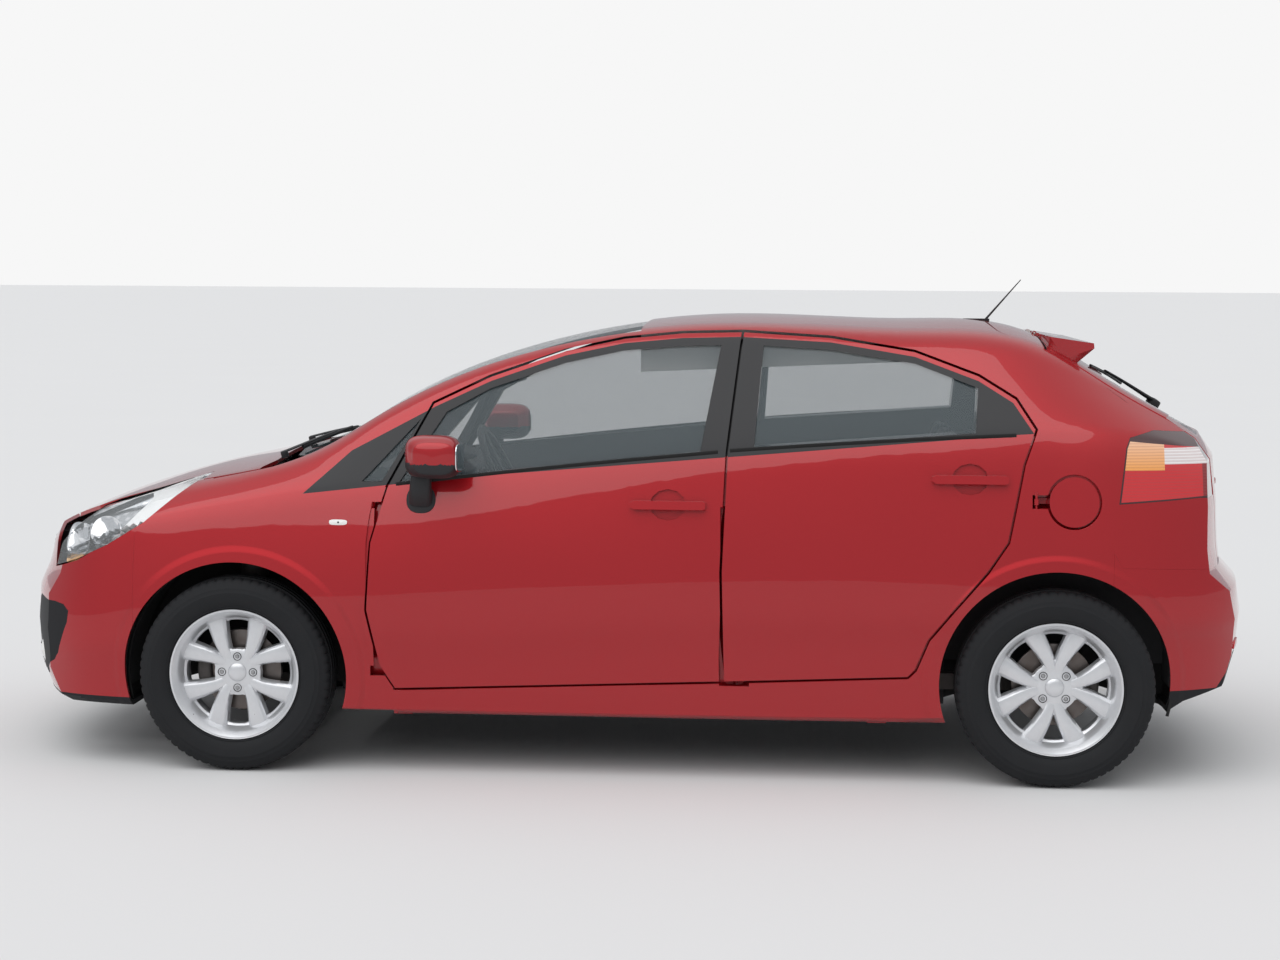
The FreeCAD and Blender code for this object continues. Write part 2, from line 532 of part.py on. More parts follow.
post = post.cut(cylinder_y(bonnet_axis_x, bonnet_axis_z, hinge_pin_radius + pin_play, 540, 560))
left_front = tower + [
    post, box(990, 1850, 400, 462, 330, 430), box(1838, 1868, 300, 420, 430, 655),
    side_prism([(990, 330), (1640, 330), (1640, 780), (1500, 800), (990, 850)], 462, 470),
    front_house(liner_radius, liner_radius + liner_wall, 462, 900).common(left_form(skin)),
    box(1850, 1930, 400, 450, 350, 420),
    cylinder_y(front_axle_x, hub_z, liner_radius + liner_wall, 462, 470).common(box(0, 2000, 0, 1000, hub_z, 1000))]
rear_ring = cylinder_y(rear_axle_x, hub_z + 10, liner_radius + liner_wall, 536, 780)
rear_ring = rear_ring.cut(cylinder_y(rear_axle_x, hub_z + 10, liner_radius, 544, 780))
left_rear = [rear_ring.common(box(-1900, -1004, 500, 745, 350, 1000)), box(-1960, -1860, 400, 450, 400, 470),
             box(-1755, -1730, 536, 690, 300, 470)]
left_middle = [box(915, 990, 400, 462, 330, 430), box(-1004, -992, 536, 745, 205, 430)]


def structure(pieces, left_pieces):
    solids = pieces + left_pieces + [mirrored(piece) for piece in left_pieces]
    return solids[0].fuse(solids[1:])


front = structure(front, left_front)
for y0, y1 in ((470, 1000), (-1000, -470)):
    front = front.cut(cylinder_y(front_axle_x, hub_z, liner_radius, y0, y1).common(box(0, 2000, -1000, 1000, 0, 668)))
middle = structure(middle, left_middle)
for y0, y1 in ((470, 1000), (-1000, -470)):
    middle = middle.cut(cylinder_y(front_axle_x, hub_z, liner_radius, y0, y1).common(box(0, 2000, -1000, 1000, 0, 668)))
parts["floor_pan"] = single(middle)
parts["front_structure"] = single(front.cut(parts["floor_pan"]))
parts["rear_structure"] = single(structure(rear, left_rear).cut(parts["floor_pan"]))

# Engine and running gear
engine = box(1060, 1480, -330, 330, 255.3, 720)
parts["engine_block"] = engine.makeFillet(30, [e for e in engine.Edges if abs(e.BoundBox.YLength) > 600])
subframe = box(1060, 1330, -462, 462, 205, 255)
for hand in (1, -1):
    y0, y1 = sorted((hand * 395, hand * steer_axis_y))
    subframe = subframe.fuse([box(1172, 1232, y0, y1, 172, 200), box(1160, 1245, *sorted((hand * 330, hand * 395)), 172, 210),
                              box(1150, 1240, *sorted((hand * 405, hand * 455)), 250, 329.7),
                              cylinder_z(front_axle_x, hand * steer_axis_y, ball_boss_radius, 172, 200),
                              cylinder_z(front_axle_x, hand * steer_axis_y, ball_pin_radius, 172, 228)])
parts["front_subframe"] = subframe
strut_top = 670 - seat_fit
strut = cylinder_z(front_axle_x, 545, 24, 400, strut_top).fuse(cylinder_z(front_axle_x, 545, 50, 520, 535)).fuse(
    cylinder_z(front_axle_x, 545, 44, 535, strut_top))
beam = side_prism([(-1095, 255), (-1175, 255), (-1175, 320), (-1095, 320)], -600, 600)
rear_axle = beam
for hand in (1, -1):
    y = hand * 610
    arm = box(-1400, -1004 - seat_fit, *sorted((hand * 585, hand * 635)), 270, 320)
    hub = cylinder_y(rear_axle_x, hub_z, 55, *sorted((hand * 635, hand * 690)))
    web = box(-1410, -1325, *sorted((hand * 585, hand * 650)), 262, 354)
    bore = cylinder_y(rear_axle_x, hub_z, 20.05, *sorted((hand * 600, hand * 700)))
    rear_axle = rear_axle.fuse([arm, hub, web]).cut(bore)
parts["rear_axle"] = rear_axle

knuckle = cylinder_y(front_axle_x, hub_z, 55, 640, 690).fuse(box(1175, 1230, 640, 688, 200.3, 300))
knuckle = knuckle.fuse([box(1180, 1225, 640, 660, 300, 430), box(1090, 1202, 640, 662, 290, 326),
                        cylinder_z(front_axle_x, steer_axis_y, ball_boss_radius, 200.3, 236)])
knuckle = knuckle.cut(cylinder_z(front_axle_x, steer_axis_y, ball_pin_radius + pin_play, 200, 232))
knuckle = knuckle.cut(cylinder_y(front_axle_x, hub_z, 20.05, 600, 720))
parts["knuckle_left"] = knuckle


def lathe(points, x, y_hand=1):
    """Points (radius, y) turned about the wheel's axle."""
    corners = [vec(x, y, hub_z + r) for r, y in points]
    return Part.Face(Part.makePolygon(corners + corners[:1])).revolve(vec(x, 0, hub_z), vec(0, 1, 0), 360)


half = tyre_width / 2
tyre_profile = [(192.3, -66), (208, -71), (208, -80), (262, -half), (300, -80), (tyre_radius, -60),
                (tyre_radius, 60), (300, 80), (262, half), (208, 80), (208, 71), (192.3, 66)]
rim_profile = [(207, 71.6), (192, 67), (174, 20), (174, -40), (192, -67), (207, -71.6),
               (207, -76), (166, -42), (166, 22), (182, 60), (196, 78), (207, 78)]


def tyre(x):
    return lathe([(r, half_track + y) for r, y in tyre_profile], x)


# A spoke beside the upright: (across, up, half width) along its middle, and its side (up, y)
spoke_middle = [(30, 44, 15), (41, 69, 17), (67, 162, 31), (74, 180, 34)]
spoke_side = [(40, 22), (150, 34), (182, 62), (40, 52), (40, 22)]


def wheel(x, turn):
    rim = lathe([(r, half_track + y) for r, y in rim_profile], x)
    hub = lathe([(0, half_track + 34), (0, half_track + 58), (30, half_track + 58), (70, half_track + 46),
                 (70, half_track + 18), (62, half_track - 49), (20, half_track - 49), (20, 640), (0, 640)], x)
    disc = lathe([(50, 713), (50, 733), (130, 733), (130, 713)], x)
    side = Part.Face(Part.makePolygon([vec(x - 120, half_track + y, hub_z + z) for z, y in spoke_side])).extrude(vec(240, 0, 0))
    spokes = []
    for hand in (1, -1):
        outline = [(a + w, z) for a, z, w in spoke_middle] + [(a - w, z) for a, z, w in reversed(spoke_middle)]
        corners = [vec(x + hand * a, half_track, hub_z + z) for a, z in outline]
        face = Part.Face(Part.makePolygon(corners + corners[:1])).extrude(vec(0, 80, 0))
        spoke = side.common(face).common(cylinder_y(x, hub_z, 181, half_track, half_track + 80))
        for i in range(4):
            copy = spoke.copy()
            copy.rotate(vec(x, 0, hub_z), vec(0, 1, 0), 90 * i + turn)
            spokes.append(copy)
    return rim.fuse([hub, disc] + spokes)


for end, x in (("front", front_axle_x), ("rear", rear_axle_x)):
    parts["tyre_%s_left" % end] = tyre(x)
    parts["wheel_%s_left" % end] = wheel(x, 0 if end == "front" else 45)

# Exhaust and tank
exhaust = cylinder_x(-200, 225, 24, -1000, 900).fuse(cylinder_x(-330, 300, 22, -1700, -1500))
silencer = box(-1720, -1500, -470, -60, 250, 360)
silencer = silencer.makeFillet(40, [e for e in silencer.Edges if e.BoundBox.XLength > 200])
pipe = cylinder_x(-350, 290, 24, -1895, -1700).fuse([cylinder_x(-200, 300, 22, -1550, -1220),
                                                       cylinder_z(-1600, -150, 8, 355, 429.7), cylinder_z(-1600, -380, 8, 355, 429.7)])
parts["exhaust"] = silencer.fuse(pipe)
parts["front_struts"] = Part.makeCompound([strut, mirrored(strut)])
grip = [(166, -9), (190, -9), (196, 0), (190, 9), (166, 9), (160, 0)]
grip = Part.Face(Part.makePolygon([vec(r, 0, z) for r, z in grip + grip[:1]])).revolve(vec(0, 0, 0), vec(0, 0, 1), 360)
parts["steering_wheel"] = grip.fuse([
    cylinder_z(0, 0, 60, -40, 0), Part.makeCylinder(22, 330, vec(0, 0, -370)),
    box(-175, 175, -18, 18, -14, 6)])
column_room = Part.makeCylinder(22.3, 400, vec(0, 0, -370.3))
for shape in (parts["steering_wheel"], column_room):
    shape.rotate(vec(0, 0, 0), vec(0, 1, 0), -64)
    shape.translate(vec(400, 370, 900))

# Cabin furniture
dash = side_prism([(889, 640), (560, 640), (500, 760), (560, 900), (780, 960), (889, 900)], -655, 655)
dash = dash.common(cabin_walls).fuse(cylinder_y(830, 760, 25, -671.6, 671.6))
parts["dashboard"] = dash.cut(column_room)


def seat(x, y0, y1):
    cushion = side_prism([(x, 245.3), (x + 470, 245.3), (x + 500, 420), (x + 460, 470), (x, 440)], y0, y1)
    back = side_prism([(x - 110, 400), (x, 380), (x + 40, 460), (x - 130, 1010), (x - 220, 1000)], y0 + 15, y1 - 15)
    head = side_prism([(x - 232, 1030), (x - 140, 1030), (x - 150, 1195), (x - 235, 1190)], (y0 + y1) / 2 - 125, (y0 + y1) / 2 + 125)
    posts = [cylinder_z(x - 185, (y0 + y1) / 2 + k, 7, 990, 1040) for k in (-60, 60)]
    return cushion.fuse([back, head] + posts)


front_seat = seat(-190, 115, 625)
parts["front_seats"] = Part.makeCompound([front_seat, mirrored(front_seat)])
bench = side_prism([(-900, 245.3), (-460, 245.3), (-430, 400), (-470, 470), (-900, 430)], -640, 640)
bench = bench.fuse(side_prism([(-999.7, 470.3), (-999.7, 380), (-900, 380), (-850, 440), (-1010, 990), (-1075, 980), (-1075, 470.3)], -530, 530))
parts["rear_seat"] = bench

# Mirrors on the doors: the shell goes through three eight-sided sections (x0, x1, z0, z1, bevel, y)
mirror_sections = [(500, 636, 958, 1056, 30, 818), (468, 648, 941, 1077, 38, 880), (480, 612, 958, 1060, 40, 975)]


def eight_sided(x0, x1, z0, z1, bevel, y):
    corners = [(x0, z0 + bevel), (x0 + bevel, z0), (x1 - bevel, z0), (x1, z0 + bevel),
               (x1, z1 - bevel), (x1 - bevel, z1), (x0 + bevel, z1), (x0, z1 - bevel)]
    corners = [vec(x, y, z) for x, z in corners]
    return Part.makePolygon(corners + corners[:1])


shell = Part.makeLoft([eight_sided(*row) for row in mirror_sections], True, True)
foot = side_prism([(565, 835), (653, 850), (640, 968), (560, 968)], 740, 850)
parts["mirror_left"] = single(shell.fuse(foot).cut(left_form(0)))

# Spoiler and aerial
spoiler_side = [(tailgate_axis_x - 16, 1386), (-1496, 1366), (-1498, 1350), (-1440, 1300), (tailgate_axis_x - 16, 1330)]
parts["spoiler"] = single(side_prism(spoiler_side, -510, 510).cut(form(0)))
aerial = plan_prism([(-1113, 0), (-1130, 14), (-1200, 16), (-1200, -16), (-1130, -14)], 1380, 1432).cut(form(0))
mast = Part.makeCone(4, 1.5, 190, vec(-1180, 0, 1420), vec(-124, 0, 144))
parts["aerial"] = single(single(aerial).fuse(mast).cut(form(0)))

for name in list(parts):
    if name.endswith("_left"):
        parts[name.replace("_left", "_right")] = mirrored(parts[name])
os.makedirs("parts", exist_ok=True)
for name, shape in parts.items():
    shape.exportStep("parts/" + name + ".step")
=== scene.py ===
# The looks of a hatchback car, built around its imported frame. Metres, +X forward, +Y left, +Z up.
import json
import math

import bmesh
import bpy
import numpy as np
from mathutils import Matrix, Vector

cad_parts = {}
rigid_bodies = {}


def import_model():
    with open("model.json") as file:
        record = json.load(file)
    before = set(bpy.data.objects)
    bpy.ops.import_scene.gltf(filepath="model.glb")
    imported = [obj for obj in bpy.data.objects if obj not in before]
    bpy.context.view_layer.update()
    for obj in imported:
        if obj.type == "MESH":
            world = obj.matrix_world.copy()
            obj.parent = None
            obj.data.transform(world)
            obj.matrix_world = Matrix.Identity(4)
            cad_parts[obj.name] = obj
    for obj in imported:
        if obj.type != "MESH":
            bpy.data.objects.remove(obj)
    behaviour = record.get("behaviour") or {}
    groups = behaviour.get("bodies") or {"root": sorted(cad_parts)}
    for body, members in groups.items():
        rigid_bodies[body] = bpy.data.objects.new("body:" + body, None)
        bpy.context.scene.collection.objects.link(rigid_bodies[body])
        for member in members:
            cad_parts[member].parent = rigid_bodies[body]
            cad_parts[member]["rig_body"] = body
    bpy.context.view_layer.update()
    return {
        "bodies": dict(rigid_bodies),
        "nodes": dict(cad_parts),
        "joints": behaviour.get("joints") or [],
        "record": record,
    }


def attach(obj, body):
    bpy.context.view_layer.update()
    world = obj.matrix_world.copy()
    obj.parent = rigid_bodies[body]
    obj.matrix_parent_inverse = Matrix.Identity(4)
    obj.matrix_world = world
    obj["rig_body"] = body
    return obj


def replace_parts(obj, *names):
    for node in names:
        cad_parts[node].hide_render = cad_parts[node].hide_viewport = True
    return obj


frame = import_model()
nodes = frame["nodes"]


# Shader building: a socket that takes part in sums, and a material that grows by one method

class Wire:
    def __init__(self, shading, socket):
        self.shading = shading
        self.socket = socket

    def maths(self, operation, *values):
        return self.shading.node("ShaderNodeMath", {"operation": operation}, dict(enumerate(values)))

    def __add__(self, other):
        return self.maths("ADD", self, other)

    def __radd__(self, other):
        return self.maths("ADD", other, self)

    def __sub__(self, other):
        return self.maths("SUBTRACT", self, other)

    def __rsub__(self, other):
        return self.maths("SUBTRACT", other, self)

    def __mul__(self, other):
        return self.maths("MULTIPLY", self, other)

    def __rmul__(self, other):
        return self.maths("MULTIPLY", other, self)

    def __gt__(self, other):
        return self.maths("GREATER_THAN", self, other)

    def __lt__(self, other):
        return self.maths("LESS_THAN", self, other)

    def lowest(self, other):
        return self.maths("MINIMUM", self, other)

    def highest(self, other):
        return self.maths("MAXIMUM", self, other)

    def absolute(self):
        return self.maths("ABSOLUTE", self)

    def sine(self):
        return self.maths("SINE", self)

    def root(self):
        return self.maths("SQRT", self)


class Shading:
    def __init__(self, name, **fixed):
        self.material = bpy.data.materials.new(name)
        self.material.use_nodes = True
        self.nodes = self.material.node_tree.nodes
        self.links = self.material.node_tree.links
        self.surface = self.nodes["Principled BSDF"]
        for label, value in fixed.items():
            self.surface.inputs[label.replace("_", " ")].default_value = value

    def node(self, kind, settings=None, inputs=None, output=0):
        made = self.nodes.new(kind)
        for key, value in (settings or {}).items():
            setattr(made, key, value)
        for key, value in (inputs or {}).items():
            if isinstance(value, Wire):
                self.links.new(value.socket, made.inputs[key])
            else:
                made.inputs[key].default_value = value
        return Wire(self, made.outputs[output])

    def feed(self, **wires):
        for label, wire in wires.items():
            self.links.new(wire.socket, self.surface.inputs[label.replace("_", " ")])

    def place(self):
        if not hasattr(self, "coordinates"):
            self.coordinates = self.node("ShaderNodeTexCoord", output="Object")
        return self.coordinates

    def axes(self):
        split = self.nodes.new("ShaderNodeSeparateXYZ")
        self.links.new(self.place().socket, split.inputs[0])
        return [Wire(self, split.outputs[i]) for i in range(3)]

    def noise(self, scale, detail=2.0):
        values = {"Vector": self.place(), "Scale": scale, "Detail": detail}
        return self.node("ShaderNodeTexNoise", {}, values, "Fac")

    def between(self, factor, low, high):
        return self.node("ShaderNodeMapRange", {}, {"Value": factor, "To Min": low, "To Max": high})

    def mix(self, factor, a, b):
        return self.node("ShaderNodeMix", {"data_type": "RGBA"}, {"Factor": factor, 6: a, 7: b}, 2)

    def bump(self, height, strength, distance):
        values = {"Strength": strength, "Distance": distance, "Height": height}
        self.feed(Normal=self.node("ShaderNodeBump", {}, values))


def rgb(red, green, blue):
    return (red, green, blue, 1.0)


# Colours as linear values, one dictionary for all finishes
colours = {
    "red": rgb(0.44, 0.010, 0.016), "redDeep": rgb(0.32, 0.006, 0.010),
    "frameBlack": rgb(0.014, 0.014, 0.016), "trimBlack": rgb(0.022, 0.022, 0.024),
    "rubber": rgb(0.011, 0.012, 0.014), "silver": rgb(0.72, 0.73, 0.75), "steel": rgb(0.42, 0.42, 0.43),
    "iron": rgb(0.11, 0.10, 0.095), "underseal": rgb(0.045, 0.045, 0.047), "cloth": rgb(0.055, 0.056, 0.060),
    "clothThread": rgb(0.10, 0.10, 0.11), "headliner": rgb(0.55, 0.54, 0.52), "glass": rgb(0.13, 0.165, 0.18),
    "amber": rgb(0.95, 0.42, 0.10), "tailRed": rgb(0.62, 0.012, 0.018), "chrome": rgb(0.86, 0.87, 0.89),
    "lens": rgb(0.80, 0.83, 0.84), "rubberWorn": rgb(0.026, 0.026, 0.027),
    "discBright": rgb(0.20, 0.19, 0.185), "discRusty": rgb(0.12, 0.09, 0.075),
    "innerTrim": rgb(0.040, 0.040, 0.043), "liner": rgb(0.018, 0.018, 0.018), "bulb": rgb(0.85, 0.86, 0.88),
    "indicator": rgb(0.92, 0.50, 0.16), "milk": rgb(0.86, 0.86, 0.84), "mirror": rgb(0.88, 0.90, 0.92),
    "seal": rgb(0.012, 0.012, 0.012),
}

# The side windows with their black frame, as a closed outline seen from the side (x, z)
daylight = {
    "belt": [(0.969, 0.897), (0.433, 0.944), (-0.345, 1.032), (-1.290, 1.094)],
    "roof": [(-1.290, 1.094), (-1.228, 1.186), (-1.123, 1.251), (-0.926, 1.323), (-0.664, 1.365),
             (-0.381, 1.380), (-0.196, 1.375), (-0.011, 1.357), (0.175, 1.317), (0.409, 1.235),
             (0.584, 1.153), (0.843, 1.014), (0.969, 0.897)],
}


def beside(x, z, a, b):
    # How far a point lies on the left of the line from a to b
    length = math.hypot(b[0] - a[0], b[1] - a[1])
    nx, nz = -(b[1] - a[1]) / length, (b[0] - a[0]) / length
    return x * nx + z * nz - (a[0] * nx + a[1] * nz)


def insideBy(x, z, corners):
    # How deep a point lies inside a convex outline with clockwise corners: its least distance from the edges
    inside = None
    for a, b in zip(corners, corners[1:] + corners[:1]):
        distance = -1 * beside(x, z, a, b)
        inside = distance if inside is None else inside.lowest(distance)
    return inside


def windowMask(shading):
    # 1 inside the daylight outline: below every roof line, and above one of the belt lines
    x, y, z = shading.axes()
    roof, belt = daylight["roof"], daylight["belt"]
    inside = None
    for a, b in zip(roof, roof[1:]):
        distance = -1 * beside(x, z, a, b)
        inside = distance if inside is None else inside.lowest(distance)
    above = None
    for a, b in zip(belt, belt[1:]):
        distance = -1 * beside(x, z, a, b)
        above = distance if above is None else above.highest(distance)
    return inside.lowest(above) > 0.0


# The black parts of the bumpers in the front view (y, z)
blackParts = {
    "fog": [(0.470, 0.380), (0.485, 0.455), (0.520, 0.505), (0.570, 0.520), (0.735, 0.519),
            (0.757, 0.512), (0.769, 0.492), (0.768, 0.455), (0.757, 0.405), (0.743, 0.352), (0.728, 0.328),
            (0.700, 0.308), (0.640, 0.272), (0.605, 0.262), (0.510, 0.262), (0.480, 0.290)],
    "lip": 0.222, "rearLip": 0.298,
    "diffuser": [(-0.700, 0.200), (-0.640, 0.405), (0.640, 0.405), (0.700, 0.200)],
}


def bumperMask(shading):
    x, y, z = shading.axes()
    fog = insideBy(y.absolute(), z, blackParts["fog"]) > 0.0
    front = x > 0.0
    nose = (x > 1.70) * fog
    tail = (insideBy(y, z, blackParts["diffuser"]) > 0.0) * (x < -1.80)
    lip = front * (z < blackParts["lip"]) + (1 - front) * (z < blackParts["rearLip"])
    return nose.highest(tail).highest(lip).lowest(1.0)


# The raised lips of the wheel arches: their centres (x, z), and how far out a lip starts and stops falling
archLips = {"centres": ((1.192, 0.308), (-1.366, 0.318)), "start": 0.388, "end": 0.412, "height": 0.005}


def paintRed(name, windows=False, black=None, arches=False):
    # Metallic paint: fine flakes in the base, a slow drift of colour, clear lacquer over all
    look = Shading(name, Metallic=0.42, Roughness=0.36, Specular_IOR_Level=0.12, Coat_Weight=1.0,
                   Coat_Roughness=0.02, Coat_IOR=1.5)
    flakes = look.noise(1400.0, 1.0)
    drift = look.noise(2.2, 2.0)
    colour = look.mix(look.between(flakes, 0.15, 0.85), colours["redDeep"], colours["red"])
    colour = look.mix(look.between(drift, 0.0, 0.25), colour, colours["red"])
    rough = look.between(flakes, 0.28, 0.42)
    if windows or black:
        mask = windowMask(look) if windows else black(look)
        look.feed(Base_Color=look.mix(mask, colour, colours["frameBlack" if windows else "trimBlack"]),
                  Roughness=rough * (1 - mask) + (0.30 if windows else 0.55) * mask,
                  Metallic=0.42 * (1 - mask), Coat_Weight=1 - (0.55 if windows else 1.0) * mask)
    else:
        look.feed(Base_Color=colour, Roughness=rough)
    if arches:
        x, y, z = look.axes()
        lip = None
        for centre in archLips["centres"]:
            away = ((x - centre[0]) * (x - centre[0]) + (z - centre[1]) * (z - centre[1])).root()
            step = look.node("ShaderNodeMapRange", {"interpolation_type": "SMOOTHSTEP"}, {
                "Value": away, "From Min": archLips["start"], "From Max": archLips["end"],
                "To Min": 1.0, "To Max": 0.0})
            lip = step if lip is None else lip.highest(step)
        look.bump(lip, 1.0, archLips["height"])
    return look.material


def plastic(name, colour, roughness=0.5, grain=900.0, depth=0.0002, strength=0.25):
    # Moulded plastic: a fine grain in the surface and a little change of gloss
    look = Shading(name, Roughness=roughness, Specular_IOR_Level=0.3)
    fine = look.noise(grain, 3.0)
    wide = look.noise(9.0, 2.0)
    look.feed(Base_Color=look.mix(look.between(wide, 0.0, 0.5), colour,
                                  [c * 1.35 for c in colour[:3]] + [1.0]),
              Roughness=look.between(wide, roughness - 0.06, roughness + 0.08))
    look.bump(fine, strength, depth)
    return look.material


def glassLook(name, colour, alpha, roughness=0.02):
    # Clear or tinted: alpha says how much of the surface is seen, and a wide noise moves the tint a little
    look = Shading(name, Roughness=roughness, IOR=1.5, Alpha=alpha, Coat_Weight=0.0)
    look.feed(Base_Color=look.mix(look.between(look.noise(3.0), 0.0, 0.3), colour,
                                  [c * 0.8 for c in colour[:3]] + [1.0]))
    look.material.surface_render_method = "BLENDED"
    return look.material


def metalLook(name, colour, metallic, roughness, coat=0.0, grain=60.0):
    # Metal or silver paint: a noise of the given grain darkens it in places and moves its gloss
    look = Shading(name, Metallic=metallic, Roughness=roughness, Coat_Weight=coat, Coat_Roughness=0.06)
    wide = look.noise(grain, 4.0)
    look.feed(Base_Color=look.mix(look.between(wide, 0.0, 0.35), colour,
                                  [c * 0.72 for c in colour[:3]] + [1.0]),
              Roughness=look.between(wide, roughness * 0.8, roughness * 1.25))
    return look.material


def rubberLook():
    # Tyre rubber: worn paler in wide patches, with a fine grain
    look = Shading("tyreRubber", Roughness=0.72, Specular_IOR_Level=0.22)
    wide = look.noise(14.0, 4.0)
    fine = look.noise(260.0, 3.0)
    look.feed(Base_Color=look.mix(look.between(wide, 0.0, 0.6), colours["rubber"], colours["rubberWorn"]),
              Roughness=look.between(wide, 0.62, 0.82))
    look.bump(fine, 0.15, 0.0004)
    return look.material


def discLook():
    # Turned steel that is a little rusty in wide patches
    look = Shading("brakeDisc", Metallic=0.9, Roughness=0.38)
    wide = look.noise(22.0, 3.0)
    look.feed(Base_Color=look.mix(wide, colours["discBright"], colours["discRusty"]),
              Roughness=look.between(wide, 0.30, 0.50))
    return look.material


def clothLook(name, base, thread):
    # Woven seat cloth: two crossed waves for the weave, a soft noise for the wear
    look = Shading(name, Roughness=0.92, Sheen_Weight=0.25, Sheen_Roughness=0.5)
    x, y, z = look.axes()
    threads = 1500.0
    weave = (x * threads + z * threads).sine() * (y * threads).sine()
    wide = look.noise(12.0, 3.0)
    look.feed(Base_Color=look.mix(look.between(weave, 0.35, 0.65), base, thread),
              Roughness=look.between(wide, 0.85, 0.97))
    look.bump(weave, 0.12, 0.0003)
    return look.material


# The tail lamp from the side (x, z), for the dark seam round its lens
tailOutline = [(-1.548, 0.883), (-1.802, 0.899), (-1.990, 0.911), (-1.990, 1.040), (-1.840, 1.054),
               (-1.775, 1.096), (-1.664, 1.104), (-1.600, 1.092), (-1.580, 1.075), (-1.571, 1.052)]


def tailLensLook():
    # Red below, amber at the upper front and clear at the upper rear, with fine optics in the lens
    look = Shading("tailLens", Roughness=0.06, Coat_Weight=1.0, Coat_Roughness=0.02)
    x, y, z = look.axes()
    rear = x < -1.692
    upper = z - 0.018 * rear > 0.985
    fluting = 700.0
    ribs = look.between((z * fluting).sine(), 0.7, 1.0)
    brow = (z > 1.052).highest(x < -1.905) * rear
    pale = look.mix(look.between(z * 9.0 - 8.9, 0.0, 1.0), colours["amber"], rgb(0.90, 0.60, 0.42))
    clear = look.mix(rear, pale, rgb(0.86, 0.84, 0.83))
    deep = look.mix(x < -1.815, colours["tailRed"], rgb(0.22, 0.006, 0.010))
    colour = look.mix(upper * (1 - brow), deep, clear)
    ribbed = look.mix(ribs, rgb(0.30, 0.05, 0.05), colour)
    edge = insideBy(x, z, tailOutline) < 0.0055
    look.feed(Base_Color=look.mix(edge, ribbed, rgb(0.045, 0.006, 0.008)),
              Roughness=look.between(ribs, 0.10, 0.05))
    look.bump((z * fluting).sine() * (x * fluting + y * fluting).sine(), 0.12, 0.0005)
    return look.material


def lampInsideLook():
    # The tray behind the clear lens: grey facets, a white blade at the rear, dark bars above and between
    look = Shading("lampInside", Metallic=0.85, Roughness=0.22)
    x, y, z = look.axes()
    rear = beside(x, z, (1.640, 0.690), (1.480, 0.870)) > 0.0
    tip = beside(x, z, (1.480, 0.850), (1.700, 0.800)) > 0.006
    blade = rear.highest(tip)
    brow = (beside(x, z, (1.800, 0.733), (1.490, 0.866)).absolute() < 0.009) * (x > 1.495)
    bar = (beside(x, z, (1.703, 0.790), (1.675, 0.690)).absolute() < 0.0055) * (x > 1.66)
    front = x > 1.792
    dark = brow.highest(bar).highest(front)
    facets = look.between((x * 160.0 + z * 90.0).sine() * (z * 210.0).sine(), 0.0, 1.0)
    grey = look.mix(facets, rgb(0.52, 0.54, 0.56), rgb(0.80, 0.81, 0.83))
    colour = look.mix(blade, grey, rgb(0.90, 0.91, 0.91))
    look.feed(Base_Color=look.mix(dark, colour, rgb(0.03, 0.035, 0.04)),
              Metallic=0.85 * (1 - blade) * (1 - dark), Roughness=0.20 + 0.2 * blade + 0.3 * dark)
    return look.material


print("finishes")
finish = {
    "paint": paintRed("bodyRed"), "side": paintRed("bodyRedWindows", windows=True, arches=True),
    "trim": plastic("trimBlack", colours["trimBlack"], 0.48),
    "frame": plastic("frameBlack", colours["frameBlack"], 0.30, 500.0, 0.0001),
    "inner": plastic("innerTrim", colours["innerTrim"], 0.62, 300.0, 0.0003, 0.06),
    "liner": plastic("archLiner", colours["liner"], 0.85, 120.0, 0.001),
    "headliner": plastic("headliner", colours["headliner"], 0.9, 300.0, 0.0003, 0.06),
    "glass": glassLook("tintedGlass", colours["glass"], 0.42, 0.0),
    "glassInside": glassLook("glassInside", colours["glass"], 0.04, 0.0),
    "lens": glassLook("clearLens", colours["lens"], 0.16), "rubber": rubberLook(),
    "silver": metalLook("alloySilver", colours["silver"], 0.55, 0.30, 0.7),
    "steel": metalLook("plainSteel", colours["steel"], 0.85, 0.42),
    "iron": metalLook("castIron", colours["iron"], 0.6, 0.62),
    "underseal": plastic("underseal", colours["underseal"], 0.85, 160.0, 0.0012, 0.5), "disc": discLook(),
    "chrome": metalLook("chrome", colours["chrome"], 1.0, 0.08, 0.0, 8.0), "tail": tailLensLook(),
    "lampInside": lampInsideLook(), "bulb": glassLook("bulbGlass", colours["bulb"], 0.75, 0.03),
    "amberGlow": glassLook("indicatorAmber", colours["indicator"], 0.95, 0.12),
    "milk": glassLook("milkyLens", colours["milk"], 0.97, 0.12),
    "tailRed": glassLook("redLens", colours["tailRed"], 0.97, 0.10),
    "mirror": metalLook("mirrorSilver", colours["mirror"], 1.0, 0.02, 0.0, 3.0),
    "bumper": paintRed("bodyRedBumper", black=bumperMask, arches=True),
    "cloth": clothLook("seatCloth", colours["cloth"], colours["clothThread"]),
    "seal": plastic("rubberSeal", colours["seal"], 0.7),
}


# Mesh helpers

def meshObject(name, vertices, faces, material, body, angle=30.0):
    # A piece from points and faces that rides on a body
    mesh = bpy.data.meshes.new(name)
    mesh.from_pydata(np.asarray(vertices, float).reshape(-1, 3).tolist(), [],
                     faces if isinstance(faces, list) else faces.tolist())
    mesh.validate()
    piece = bpy.data.objects.new(name, mesh)
    bpy.context.scene.collection.objects.link(piece)
    for item in material if isinstance(material, list) else [material]:
        mesh.materials.append(item)
    shadeByAngle(mesh, angle)
    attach(piece, body)
    return piece


